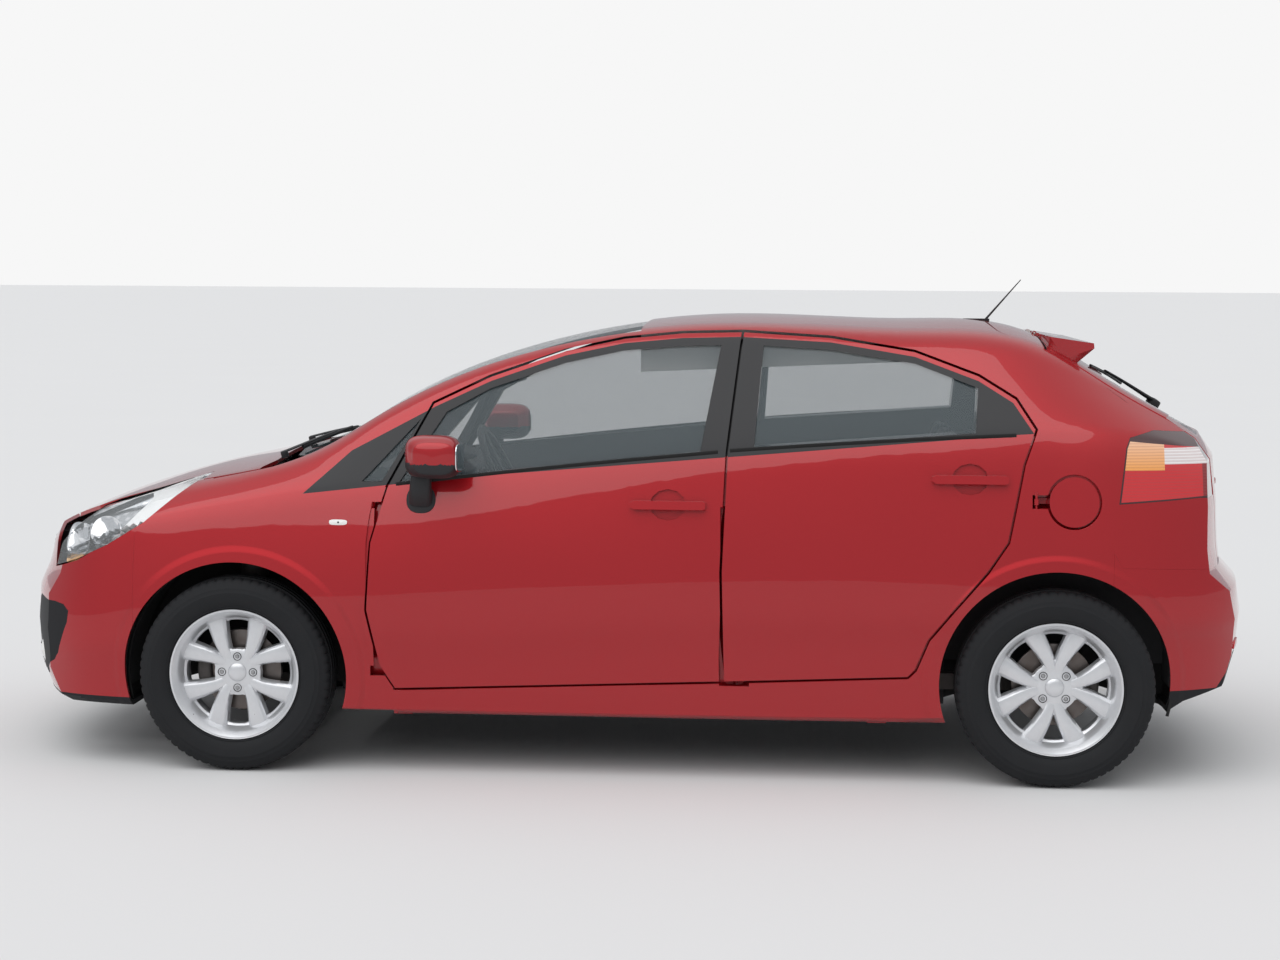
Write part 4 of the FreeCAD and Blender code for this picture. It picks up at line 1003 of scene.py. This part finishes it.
def addPiece(name, parts, material, body, angle=34):
    # Grids joined to one piece with its faces turned outwards
    points, faces = joinGrids(parts)
    piece = outward(meshObject(name, points, faces, material, body, angle))
    shadeByAngle(piece.data, angle)
    return piece


def flank(x, z, hand, base=0.0):
    # The flank as a surface about a point of the side view
    return lambda u, v, out: onSide(x + u, z + v, hand, out + base)


def endFace(y, z, hand, base=0.0):
    # The nose or the tail as a surface about a point of the front view
    return lambda u, v, out: onEnd(y + u, z + v, hand, out + base)


def topFace(x, y):
    # The body's upper face as a surface about a point of the plan
    return lambda u, v, out: onTop(x + u, y + v, out)


def plane(place, right, up):
    # A flat place to lay a pad on: right and up are its directions, and out is their cross product
    place, right, up = (np.asarray(a, float) for a in (place, right, up))
    right, up = right / np.linalg.norm(right), up / np.linalg.norm(up)
    away = np.cross(right, up)
    return lambda u, v, out: place + u[..., None] * right + v[..., None] * up + out[..., None] * away


lampShape = {"inset": 0.030, "bowls": [((1.636, 0.753), (0.055, 0.043), 0.024, 2.2),
                                       ((1.739, 0.722), (0.046, 0.047), 0.020, 3.4)],
             "indicator": ((1.750, 0.657), (0.040, 0.016)), "indicatorTurn": -0.28, "bulb": 0.009,
             "bowlDepth": -0.007, "bulbDepth": -0.026, "rim": 0.002}


def lampTray(node, name):
    # The lamp's outer faces moved in along the form's normal, with a wall round their edge
    work = bmesh.new()
    work.from_mesh(nodes[node].data)
    bmesh.ops.remove_doubles(work, verts=work.verts, dist=0.00002)
    bmesh.ops.subdivide_edges(work, edges=[e for e in work.edges if e.calc_length() > 0.03], cuts=2,
                              use_grid_fill=True)
    bmesh.ops.triangulate(work, faces=work.faces)
    centre = np.array([face.calc_center_median() for face in work.faces])
    facing = np.array([face.normal for face in work.faces])
    normal, away = sectionNormal(centre)
    ends, endAway = endNormal(centre)
    along = ((normal * facing).sum(1) > 0.85) & (away < 0.006)
    across = ((ends * facing).sum(1) > 0.85) & (endAway < 0.006)
    keep = along | across
    bmesh.ops.delete(work, geom=[face for face, stays in zip(list(work.faces), keep) if not stays],
                     context="FACES")
    rim = [edge for edge in work.edges if edge.is_boundary]
    wall = bmesh.ops.extrude_edge_only(work, edges=rim)
    mesh = bpy.data.meshes.new(name)
    work.verts.index_update()
    outer = {v.index for v in wall["geom"] if isinstance(v, bmesh.types.BMVert)}
    work.to_mesh(mesh)
    work.free()
    points = np.zeros(len(mesh.vertices) * 3)
    mesh.vertices.foreach_get("co", points)
    points = points.reshape(-1, 3)
    inward = sectionNormal(points)[0]
    shift = np.full(len(points), lampShape["inset"])
    shift[sorted(outer)] = lampShape["rim"]
    points = points - inward * shift[:, None]
    mesh.vertices.foreach_set("co", points.ravel())
    mesh.materials.clear()
    mesh.materials.append(finish["lampInside"])
    shadeByAngle(mesh, 40)
    piece = bpy.data.objects.new(name, mesh)
    bpy.context.scene.collection.objects.link(piece)
    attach(piece, "car_body")
    return piece


mirrorShape = {"sections": [(0.505, 0.630, 0.962, 1.054, 0.826), (0.476, 0.645, 0.945, 1.073, 0.860),
                            (0.469, 0.646, 0.942, 1.077, 0.895), (0.472, 0.634, 0.948, 1.072, 0.935),
                            (0.479, 0.612, 0.958, 1.060, 0.962)], "capFoot": 0.992, "power": 3.4,
               "foot": (0.608, 0.866), "neck": (0.598, 0.858, 0.972),
               "glass": {"x": 0.4705, "y": 0.915, "z": 1.010, "tilt": 12 / 95, "half": (0.047, 0.043)}}

repeaterPlace = (0.8675, 0.794)
# For each door: where its armrest starts and ends along x, and its height
doorCard = {"wallY": 0.725, "front": (-0.20, 0.34, 0.672), "rear": (-0.95, -0.46, 0.700)}
beltSeal = {"front": ((0.690, 0.9145), (-0.318, 1.0275)), "rear": ((-0.355, 1.032), (-1.235, 1.089))}
archLiner = {"front": (1.2005, 0.308, 0.478), "rear": (-1.3675, 0.318, 0.520),  # x, z and the inner wall's y
             "y": (0.560, 0.640, 0.700, 0.742, 0.752),
             "r": (0.378, 0.380, 0.378, 0.372, 0.362), "sheet": 0.002}
fogPlace = (0.560, 0.330)
# The doors' upper edges, from the side (x, z), are in millimetres
sealShape = {"gapMiddle": 0.0045, "depth": 0.020, "width": 0.0075, "edges": {
    "front": [(588, 1162), (409, 1248), (175, 1330), (-11, 1370), (-196, 1389), (-378, 1394)],
    "rear": [(-392, 1394), (-664, 1378), (-926, 1337), (-1123, 1265), (-1236, 1196), (-1294, 1106)]}}
lipShape = {"hinge": 0.735, "hingeDepth": 0.028, "gap": 0.006, "fromTo": (0.345, 0.840),
            "layers": (-0.0004, -0.0014), "edgeZ": (0.274, 0.345, 0.524, 0.733, 0.905),
            "edgeX": (0.690, 0.735, 0.775, 0.764, 0.716)}


def mirrorShell(hand):
    # Superellipses through the named sections, drawn in to a point at both ends by a root law
    rows = smoothThrough(mirrorShape["sections"], 22)
    turn = np.linspace(0, 2 * math.pi, 64, endpoint=False)
    c, n = rounded(turn, mirrorShape["power"])
    middle = (rows[:, :2].sum(1) / 2, rows[:, 2:4].sum(1) / 2)
    half = ((rows[:, 1] - rows[:, 0]) / 2, (rows[:, 3] - rows[:, 2]) / 2)
    ends = []
    for row, way in ((0, -1), (-1, 1)):
        t = np.sin(np.linspace(0, math.pi / 2, 9)[1:] if way > 0 else np.linspace(math.pi / 2, 0, 9)[:-1])
        size = np.sqrt(np.maximum(1 - t ** 2, 1e-6))
        ends.append((size, rows[row, 4] + way * 0.013 * t, [m[row] + 0 * t for m in middle],
                     [h[row] + 0 * t for h in half]))
    size = np.concatenate([ends[0][0], np.ones(22), ends[1][0]])
    y = np.concatenate([ends[0][1], rows[:, 4], ends[1][1]])
    mx, mz = (np.concatenate([ends[0][2][k], middle[k], ends[1][2][k]]) for k in (0, 1))
    hx, hz = (np.concatenate([ends[0][3][k], half[k], ends[1][3][k]]) for k in (0, 1))
    points = np.stack([mx[:, None] + (size * hx)[:, None] * c, hand * y[:, None] + 0 * c,
                       mz[:, None] + (size * hz)[:, None] * n], 2)
    return points, gridFaces(len(y), 64, False, True)


def sidePieces(sideName):
    # Lamps, mirror, seals, door cards and liners of one side
    hand = 1 if sideName == "left" else -1
    front, rear = "door_front_" + sideName, "door_rear_" + sideName
    lampTray("headlamp_" + sideName, "headlamp_tray_" + sideName)
    bowls, bulbs = [], []
    for (x, z), (halfX, halfZ), depth, power in lampShape["bowls"]:
        bowls.append(dish(flank(x, z, hand, lampShape["bowlDepth"]), halfX, halfZ, depth, power))
        bulbs.append(button(flank(x, z, hand, lampShape["bulbDepth"]), lampShape["bulb"],
                            lampShape["bulb"], 0.004, 0.012))
    addPiece("headlamp_reflectors_" + sideName, bowls, finish["chrome"], "car_body")
    addPiece("headlamp_bulbs_" + sideName, bulbs, finish["bulb"], "car_body")
    (x, z), (halfX, halfZ) = lampShape["indicator"]
    addPiece("headlamp_indicator_" + sideName,
             [button(flank(x, z, hand, -0.024), halfX, halfZ, 0.010, 0.006, 3.0, lampShape["indicatorTurn"])],
             finish["amberGlow"], "car_body")
    addPiece("side_repeater_" + sideName,
             [button(flank(*repeaterPlace, hand), 0.0415, 0.0125, 0.003, 0.005, 3.4)], finish["milk"],
             "car_body")
    addPiece("side_repeater_mark_" + sideName,
             [button(flank(*repeaterPlace, hand, 0.0070), 0.003, 0.003, 0.0014)], finish["frame"],
             "car_body")
    # Mirror: a red cap over a black housing on a black stalk, and its glass
    shell = meshObject("mirror_shell_" + sideName, *mirrorShell(hand),
                       [finish["paint"], finish["trim"]], front, 50)
    outward(shell)
    count = len(shell.data.polygons)
    centre = np.zeros(count * 3)
    shell.data.polygons.foreach_get("center", centre)
    shell.data.polygons.foreach_set("material_index",
                                    (centre.reshape(-1, 3)[:, 2] < mirrorShape["capFoot"]).astype(np.int32))
    shadeByAngle(shell.data, 50)
    footX, footZ = mirrorShape["foot"]
    neckX, neckY, neckZ = mirrorShape["neck"]
    stalk = between(onSide(footX, footZ, hand, 0.004), (neckX, hand * neckY, neckZ), 14)
    stalk += np.sin(np.linspace(0, math.pi, 14))[:, None] * [0, hand * 0.018, -0.006]
    stalkSize = 1 - 0.18 * np.linspace(0, 1, 14)
    stalkParts = [strip(stalk, (1, 0, 0), 0.052, 0.074, 3.0, 24, stalkSize),
                  button(flank(footX, footZ + 0.002, hand), 0.046, 0.042, 0.009, 0.006, 2.4)]
    addPiece("mirror_stalk_" + sideName, stalkParts, finish["trim"], front)
    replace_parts(shell, "mirror_" + sideName)
    g = mirrorShape["glass"]

    def mirrorFace(u, v, out):
        return np.stack([g["x"] + g["tilt"] * u - out, hand * (g["y"] + u), g["z"] + v], -1)

    pane = button(mirrorFace, *g["half"], 0.0012, 0.0006, 3.6)
    addPiece("mirror_glass_" + sideName, [pane], finish["mirror"], front)
    # Belt seals along the windows: straight lines with a little rise in the middle
    for body, (a, b) in ((front, beltSeal["front"]), (rear, beltSeal["rear"])):
        x = np.linspace(a[0], b[0], 40)
        z = np.linspace(a[1], b[1], 40) + 0.004 * np.sin(np.linspace(0, math.pi, 40))
        addPiece("belt_seal_" + body, [strip(onSide(x, z, hand, 0.0012), (0, hand * 0.2, 1.0), 0.005, 0.012)],
                 finish["seal"], body)
    # Seals in the gaps round the doors' upper edges, on the body
    for label, edge in sealShape["edges"].items():
        line = np.array(edge) / 1000
        away = np.concatenate([[0], np.cumsum(np.linalg.norm(np.diff(line, axis=0), axis=1))])
        t = np.linspace(0, away[-1], 90)
        x, z = np.interp(t, away, line[:, 0]), np.interp(t, away, line[:, 1])
        slope = np.stack([np.gradient(x), np.gradient(z)], 1)
        slope /= np.linalg.norm(slope, axis=1)[:, None]
        x, z = x + slope[:, 1] * sealShape["gapMiddle"], z - slope[:, 0] * sealShape["gapMiddle"]
        points = onSide(x, z, hand, -sealShape["depth"])
        addPiece("door_seal_%s_%s" % (label, sideName),
                 [strip(points, sectionNormal(points)[0], sealShape["width"], 0.012)], finish["seal"],
                 "car_body")
    # The wing's thin lip towards the front door
    lip = lipShape
    z = np.linspace(*lip["fromTo"], 40)
    edge = np.interp(z, lip["edgeZ"], lip["edgeX"])
    start = np.maximum(edge + lip["gap"], lip["hinge"] + 0.0205)
    end = lip["hinge"] + np.hypot(np.maximum(edge - lip["hinge"], 0), lip["hingeDepth"]) + 0.0095
    across = np.linspace(0, 1, 6)
    x = start[:, None] + np.maximum(end - start, 0.0005)[:, None] * across
    layers = [onSide(x, z[:, None] + 0 * x, hand, out) for out in lip["layers"]]
    shell = np.concatenate([layers[0], layers[1][:, ::-1]], 1)
    ends = [np.repeat(row.mean(1, keepdims=True), 12, 1) for row in (shell[:1], shell[-1:])]
    shell = np.concatenate([ends[0], shell, ends[1]])
    addPiece("wing_lip_" + sideName, [(shell, gridFaces(42, 12, False, True))], finish["paint"],
             "car_body")
    # Door cards: an armrest and a pull on each door's inner wall
    for body, (x0, x1, high) in ((front, doorCard["front"]), (rear, doorCard["rear"])):
        x = np.linspace(x0, x1, 24)
        yInner = doorCard["wallY"]
        rest = np.stack([x, np.full(24, hand * yInner), high + 0.02 * (x - x0)], 1)
        pull = np.stack([x[6:20], np.full(14, hand * (yInner - 0.012)), high + 0.055 + 0 * x[6:20]], 1)
        restSize = np.sin(np.linspace(0.35, math.pi - 0.35, 24)) ** 0.4
        addPiece("armrest_" + body, [strip(rest, (0, 0, 1), 0.060, 0.050, 3.0, 20, restSize)],
                 finish["inner"], body)
        addPiece("door_pull_" + body, [strip(pull, (0, 0, 1), 0.018, 0.022, 2.2)],
                 finish["silver"], body)
    # Wheelhouse liners behind the arches
    for end in ("front", "rear"):
        x, z, wall = archLiner[end]
        turn = np.linspace(math.radians(-16), math.radians(196), 60)
        y = np.array([wall, wall, wall, wall + 0.004, *archLiner["y"]])
        r = np.array([0.020, 0.180, 0.350, 0.372, *archLiner["r"]])
        points = np.stack([x + r * np.cos(turn)[:, None], hand * y + 0 * turn[:, None],
                           z + r * np.sin(turn)[:, None]], 2)
        liner = meshObject("arch_liner_%s_%s" % (end, sideName), points, gridFaces(60, 9),
                           finish["liner"], "car_body", 40)
        thick = liner.modifiers.new("wall", "SOLIDIFY")
        thick.thickness = archLiner["sheet"]
    # Tail: a red reflector low on the bumper's corner
    addPiece("rear_reflector_" + sideName,
             [button(endFace(hand * 0.575, 0.425, -1), 0.060, 0.014, 0.002, 0.002, 4.0)], finish["tailRed"],
             "car_body")
    # Fog lamp in its recess
    addPiece("fog_bezel_" + sideName,
             [dish(endFace(hand * fogPlace[0], fogPlace[1], 1), 0.054, 0.054, 0.004, start=-0.002)],
             finish["trim"], "car_body")
    addPiece("fog_lamp_" + sideName,
             [button(endFace(hand * fogPlace[0], fogPlace[1], 1, -0.006), 0.036, 0.036, 0.002, 0.007)],
             finish["milk"], "car_body")


grilleShape = {"slats": ((0.318, 50, (0.655, 0.670, 0.685)),
                         (0.420, 60, (0.267, 0.283, 0.299, 0.315, 0.331))), "posts": 7}
wiperShape = {"front": (((1.098, 0.545), (0.985, -0.02)), ((1.118, 0.02), (1.010, -0.53))),
              "rearPivot": -1.752}


def frontAndRear():
    # Slats across the upper grille, a lattice in the lower one
    slats = [strip(onEnd(np.linspace(-half, half, count), z, 1, -0.004), (0, 0, 1), 0.014, 0.007)
             for half, count, heights in grilleShape["slats"] for z in heights]
    posts = [strip(onEnd(np.full(12, y), np.linspace(0.253, 0.342, 12), 1, -0.006), (0, 1, 0), 0.010, 0.006)
             for y in np.linspace(-0.36, 0.36, grilleShape["posts"])]
    addPiece("grille_slats", slats + posts, finish["frame"], "car_body")
    # Front wipers parked at the foot of the screen, each an arm and a blade
    wipers = []
    for pivot, tip in wiperShape["front"]:
        along = np.linspace(0, 1, 30)
        x = pivot[0] + (tip[0] - pivot[0]) * along ** 0.75
        y = pivot[1] + (tip[1] - pivot[1]) * along
        path = onTop(x, y, 0.017 - 0.003 * along)
        wipers.append(strip(path[:22], (0, 0, 1), 0.011, 0.005, taper=np.linspace(1.4, 0.8, 22)))
        wipers.append(strip(onTop(x[6:], y[6:], 0.009), (0, 0, 1), 0.009, 0.009))
        wipers.append(strip(onTop(x[6:], y[6:], 0.0038), (0, 0, 1), 0.003, 0.007))
        wipers.append(button(topFace(*pivot), 0.012, 0.012, 0.018, 0.003))
    addPiece("front_wipers", wipers, finish["trim"], "car_body")
    # Rear wiper from the foot of the tailgate's window
    pivotX = wiperShape["rearPivot"]
    arm = onTop(np.linspace(pivotX, -1.560, 20), np.linspace(0.0, 0.215, 20), 0.013)
    blade = onTop(np.linspace(-1.640, -1.500, 20), np.linspace(0.02, 0.36, 20), 0.006)
    parts = [strip(arm, (0, 0, 1), 0.014, 0.007, taper=np.linspace(1.6, 0.8, 20)),
             strip(blade, (0, 0, 1), 0.009, 0.010),
             button(topFace(pivotX, 0.0), 0.021, 0.021, 0.018, 0.004)]
    addPiece("rear_wiper_blade", parts, finish["trim"], "tailgate")
    # High brake lamp under the spoiler's lip
    y = np.linspace(-0.11, 0.11, 24)
    lamp = strip(np.stack([-1.4965 - 0.5 * y ** 2, y, 1.3580 + 0 * y], 1), (0, 0, 1), 0.006, 0.010, 4.0)
    addPiece("high_brake_lamp", [lamp], finish["tailRed"], "tailgate")
    # The tailgate's pull below its window
    pull = strip(onEnd(np.linspace(-0.17, 0.17, 30), 0.905, -1, 0.004), (0, 0, 1), 0.014, 0.022, 4.0)
    addPiece("tailgate_pull", [pull], finish["paint"], "tailgate")


# Seats, trim of the cabin and brakes

seatShape = {"front": {"x": -0.190, "y": 0.370, "half": 0.240}, "tilt": 0.07, "lean": -16, "fill": 0.75,
             "headrests": (-0.34, 0.0, 0.34), "split": ((-0.175, 0.335), (0.345, 0.172))}


def cushion(place, along, up, halfLength, halfWidth, halfThick, bolster=0.0, channels=(), power=4.0,
            pinch=0.010, columns=64, rows=40):
    # A sewn pad: a superellipsoid that rises at both sides and sinks in its channels and at its seam
    across = np.cross(up, along)
    u = np.linspace(-math.pi / 2, math.pi / 2, rows)[:, None]
    v = np.linspace(0, 2 * math.pi, columns, endpoint=False)[None, :]
    face, edge = rounded(u, 2.6)[1], rounded(u, 3.2)[0]
    c, s = rounded(v, power)
    a, b = edge * c, edge * s
    top = face > 0
    wide = np.abs(b)
    swell = top * bolster * np.clip((wide - 0.55) / 0.35, 0, 1)
    rise = face * halfThick + swell * np.clip((1.02 - wide) / 0.2, 0, 1)
    for kind, at in channels:
        line = a if kind == "across" else np.abs(b)
        rise = rise - top * (face > 0.3) * 0.007 * np.exp(-((line - at) / 0.028) ** 2)
    seam = 1 - pinch / halfWidth * np.exp(-(face / 0.12) ** 2)
    points = (np.asarray(place) + (a * halfLength * seam)[..., None] * along
              + (b * halfWidth * seam)[..., None] * across + (rise + 0 * a)[..., None] * up)
    return points, gridFaces(rows, columns, False, True)


def tipped(degrees):
    # Directions of a pad leaned back: along it, and out of its face
    a = math.radians(degrees)
    return np.array([math.sin(a), 0, math.cos(a)]), np.array([math.cos(a), 0, -math.sin(a)])


def buildSeats():
    # Two front seats on rails, and a rear bench with a split back
    pads = []
    s = seatShape["front"]
    for hand in (1, -1):
        name = "left" if hand > 0 else "right"
        y = hand * s["y"]
        tilt = seatShape["tilt"]
        flat = np.array([math.cos(tilt), 0, math.sin(tilt)])
        up = np.array([-math.sin(tilt), 0, math.cos(tilt)])
        base = cushion((s["x"] + 0.245, y, 0.400), flat, up, 0.245, s["half"], 0.062, 0.030,
                       [("across", -0.2), ("across", 0.3), ("along", 0.55)])
        lean, out = tipped(seatShape["lean"])
        back = cushion((s["x"] - 0.075, y, 0.715), lean, out, 0.300, s["half"] - 0.012, 0.052, 0.034,
                       [("across", -0.45), ("across", 0.0), ("across", 0.45), ("along", 0.55)])
        rest = cushion((s["x"] - 0.187, y, 1.108), *tipped(-6), 0.080, 0.118, 0.040, power=3.0)
        posts = [strip(between((s["x"] - 0.175, y + k, 0.985), (s["x"] - 0.186, y + k, 1.060), 6), (1, 0, 0),
                       0.012, 0.012, 2.0) for k in (-0.06, 0.06)]
        rails = [strip(between((s["x"] + 0.02, y + k, 0.272), (s["x"] + 0.44, y + k, 0.272), 12), (0, 0, 1),
                       0.040, 0.050, 4.0) for k in (-0.17, 0.17)]
        frame = strip(between((s["x"] + 0.01, y, 0.322), (s["x"] + 0.46, y, 0.330), 16), (0, 0, 1),
                      0.44, 0.060, 5.0, 24)
        for label, pad in (("cushion", base), ("back", back), ("headrest", rest)):
            pads.append(addPiece("front_seat_%s_%s" % (label, name), [pad], finish["cloth"],
                                 "car_body", 60))
        fittings = addPiece("front_seat_frame_" + name, posts + rails + [frame], finish["trim"],
                            "car_body")
        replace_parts(fittings, "front_seats")
    lean, out = tipped(seatShape["lean"])
    bench = [cushion((-0.668, 0, 0.395), np.array([0.995, 0, 0.0995]), np.array([-0.0995, 0, 0.995]), 0.215,
                     0.600, 0.058, 0.012, [("across", -0.15), ("along", 0.33)], 6.0)]
    backs = [cushion((-0.955, y, 0.700), lean, out, 0.285, half, 0.040, 0.010,
                     [("across", -0.3), ("across", 0.3)], 6.0)
             for y, half in seatShape["split"]]
    heads = [cushion((-1.055, y, 1.015), lean, out, 0.045, 0.120, 0.030, power=3.0)
             for y in seatShape["headrests"]]
    foot = strip(between((-0.668, -0.58, 0.296), (-0.668, 0.58, 0.296), 20), (0, 0, 1), 0.40, 0.100, 5.0, 24)
    for label, parts in (("bench", bench), ("back_wide", backs[:1]), ("back_narrow", backs[1:]),
                         ("headrests", heads)):
        pads.append(addPiece("rear_seat_" + label, parts, finish["cloth"], "car_body", 60))
    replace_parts(addPiece("rear_seat_base", [foot], finish["trim"], "car_body"), "rear_seat")
    for pad in pads:
        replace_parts(pad, "front_seats" if pad.name.startswith("front") else "rear_seat")


def cabinTrim():
    # Vents, instruments, radio, centre console, levers and the inner mirror
    x = 0.545
    vents = [dish(plane((x - 0.010, y, 0.868), (0, -1, 0), (0, 0, 1)), 0.040, 0.030, 0.010, 3.0)
             for y in (-0.56, -0.075, 0.075, 0.60)]
    addPiece("air_vents", vents, finish["frame"], "car_body")
    bow = np.linspace(-1.35, 1.35, 30)
    brow = np.stack([0.560 + 0.030 * np.cos(np.linspace(-1.2, 1.2, 30)), 0.370 + 0.165 * np.sin(bow),
                     0.938 + 0.042 * np.cos(bow)], 1)
    hood = strip(brow, (1, 0, 0), 0.020, 0.120, 3.0, 20)
    addPiece("instrument_hood", [hood], finish["inner"], "car_body")
    dials = [button(plane((0.552, y, 0.918), (0, -1, 0), (0.25, 0, 0.97)), 0.048, 0.048, 0.002, 0.002)
             for y in (0.315, 0.425)]
    addPiece("dials", dials, finish["frame"], "car_body")
    stack = button(plane((0.528, 0, 0.800), (0, -1, 0), (0.30, 0, 0.954)), 0.105, 0.050, 0.010, 0.002, 6.0)
    addPiece("radio_panel", [stack], finish["frame"], "car_body")
    rise = 0.375 + 0.11 * np.clip(np.linspace(-0.5, 1.2, 30), 0, 1) ** 1.6
    ridge = np.stack([np.linspace(-0.28, 0.53, 30), np.zeros(30), rise], 1)
    spine = strip(ridge, (0, 0, 1), 0.150, 0.240, 5.0, 24)
    lever = strip(between((0.270, 0, 0.50), (0.250, 0, 0.600), 10), (1, 0, 0), 0.014, 0.014, 2.0)
    knob = button(plane((0.248, 0, 0.598), (1, 0, 0), (0, 1, 0)), 0.022, 0.022, 0.020, 0.012)
    brake = strip(between((-0.20, 0.0, 0.520), (0.02, 0.0, 0.560), 12), (0, 0, 1), 0.030, 0.028, 2.4)
    addPiece("centre_console", [spine], finish["inner"], "car_body")
    addPiece("gear_lever", [lever, knob, brake], finish["trim"], "car_body")
    glass = button(plane((0.395, 0, 1.235), (0, 1, 0), (0.25, 0, 0.97)), 0.110, 0.030, 0.012, 0.006, 5.0)
    addPiece("inner_mirror", [glass], finish["trim"], "car_body")


caliperShape = {"radius": 0.118, "y": 0.7185}


def brakes():
    # A caliper astride each disc, ahead of the hub in front and behind it at the rear
    for sideName, hand in (("left", 1), ("right", -1)):
        for end, body, way in (("front", "knuckle_" + sideName, 1), ("rear", "car_body", -1)):
            turn = np.linspace(-0.42, 0.42, 16)
            spread = np.stack([way * np.cos(turn), 0 * turn, np.sin(turn)], 1)
            hub = np.array([wheelShape[end + "X"], hand * caliperShape["y"], wheelShape["hubZ"]])
            bar = strip(hub + caliperShape["radius"] * spread, spread, 0.060, 0.048, 4.0, 20)
            addPiece("caliper_%s_%s" % (end, sideName), [bar], finish["iron"], body)


print("lamps and trim")
for sideName in ("left", "right"):
    sidePieces(sideName)
frontAndRear()
print("cabin and brakes")
buildSeats()
cabinTrim()
brakes()


# Floor, light and camera

studioLight = {"floorHalf": 300.0, "fill": 0.74, "seen": 0.93, "sun": 1.35, "sunAngle": 70.0,
               "sunFrom": (0.35, 0.75, 1.0), "zenith": rgb(1.12, 1.13, 1.15),
               "horizon": rgb(0.60, 0.62, 0.65), "low": 0.30, "high": 0.75}


def studio():
    # A large pale floor, a world that is brighter overhead but plain to the camera, and one soft sun
    s = studioLight
    half = s["floorHalf"]
    mesh = bpy.data.meshes.new("floor")
    mesh.from_pydata([(-half, -half, 0), (half, -half, 0), (half, half, 0), (-half, half, 0)],
                     [], [(0, 1, 2, 3)])
    floor = bpy.data.objects.new("floor", mesh)
    bpy.context.scene.collection.objects.link(floor)
    look = Shading("paleFloor", Roughness=0.95, Specular_IOR_Level=0.1)
    look.feed(Base_Color=look.mix(look.between(look.noise(0.6), 0.0, 0.4), rgb(0.74, 0.74, 0.74),
                                  rgb(0.71, 0.71, 0.71)))
    mesh.materials.append(look.material)
    world = bpy.data.worlds.new("studio")
    bpy.context.scene.world = world
    world.use_nodes = True
    tree = world.node_tree
    background = tree.nodes["Background"]
    place = tree.nodes.new("ShaderNodeTexCoord")
    split = tree.nodes.new("ShaderNodeSeparateXYZ")
    tree.links.new(place.outputs["Generated"], split.inputs[0])
    sky = tree.nodes.new("ShaderNodeValToRGB")  # softly brighter overhead than at the horizon
    sky.color_ramp.elements[0].color = s["horizon"]
    sky.color_ramp.elements[0].position = s["low"]
    sky.color_ramp.elements[1].position = s["high"]
    sky.color_ramp.elements[1].color = s["zenith"]
    tree.links.new(split.outputs[2], sky.inputs[0])
    path = tree.nodes.new("ShaderNodeLightPath")
    seen = tree.nodes.new("ShaderNodeMath")
    seen.operation = "MAXIMUM"
    tree.links.new(path.outputs["Is Camera Ray"], seen.inputs[0])
    tree.links.new(path.outputs["Is Transmission Ray"], seen.inputs[1])
    tint = tree.nodes.new("ShaderNodeMix")
    tint.data_type = "RGBA"
    tint.inputs[7].default_value = rgb(1.0, 1.0, 1.0)
    tree.links.new(seen.outputs[0], tint.inputs[0])
    tree.links.new(sky.outputs[0], tint.inputs[6])
    tree.links.new(tint.outputs[2], background.inputs["Color"])
    strength = tree.nodes.new("ShaderNodeMapRange")
    strength.inputs["To Min"].default_value = s["fill"]
    strength.inputs["To Max"].default_value = s["seen"]
    tree.links.new(seen.outputs[0], strength.inputs["Value"])
    tree.links.new(strength.outputs[0], background.inputs["Strength"])
    data = bpy.data.lights.new("softSun", "SUN")
    data.energy = s["sun"]
    data.angle = math.radians(s["sunAngle"])
    sun = bpy.data.objects.new("softSun", data)
    sun.rotation_euler = (-Vector(s["sunFrom"])).to_track_quat("-Z", "Y").to_euler()
    bpy.context.scene.collection.objects.link(sun)


def photoCamera():
    # The photograph's place, turned by yaw, pitch and roll
    view = {"place": (-0.6236, 8.2154, 1.5889), "yaw": 4.219, "pitch": 5.004, "roll": 0.371, "lens": 67.5}
    yaw, pitch, roll = (math.radians(view[k]) for k in ("yaw", "pitch", "roll"))
    forward = Vector((math.sin(yaw) * math.cos(pitch), -math.cos(yaw) * math.cos(pitch), -math.sin(pitch)))
    right = forward.cross(Vector((0, 0, 1))).normalized()
    up = right.cross(forward)
    turnedRight = right * math.cos(roll) + up * math.sin(roll)
    turnedUp = up * math.cos(roll) - right * math.sin(roll)
    data = bpy.data.cameras.new("photoCamera")
    data.lens = view["lens"]
    data.sensor_width = 36.0
    data.clip_end = 200.0
    camera = bpy.data.objects.new("photoCamera", data)
    camera.matrix_world = Matrix((
        (turnedRight.x, turnedUp.x, -forward.x, view["place"][0]),
        (turnedRight.y, turnedUp.y, -forward.y, view["place"][1]),
        (turnedRight.z, turnedUp.z, -forward.z, view["place"][2]),
        (0, 0, 0, 1)))
    bpy.context.scene.collection.objects.link(camera)
    bpy.context.scene.camera = camera


print("studio")
studio()
photoCamera()
bpy.context.scene.view_settings.view_transform = "Standard"
bpy.context.view_layer.update()
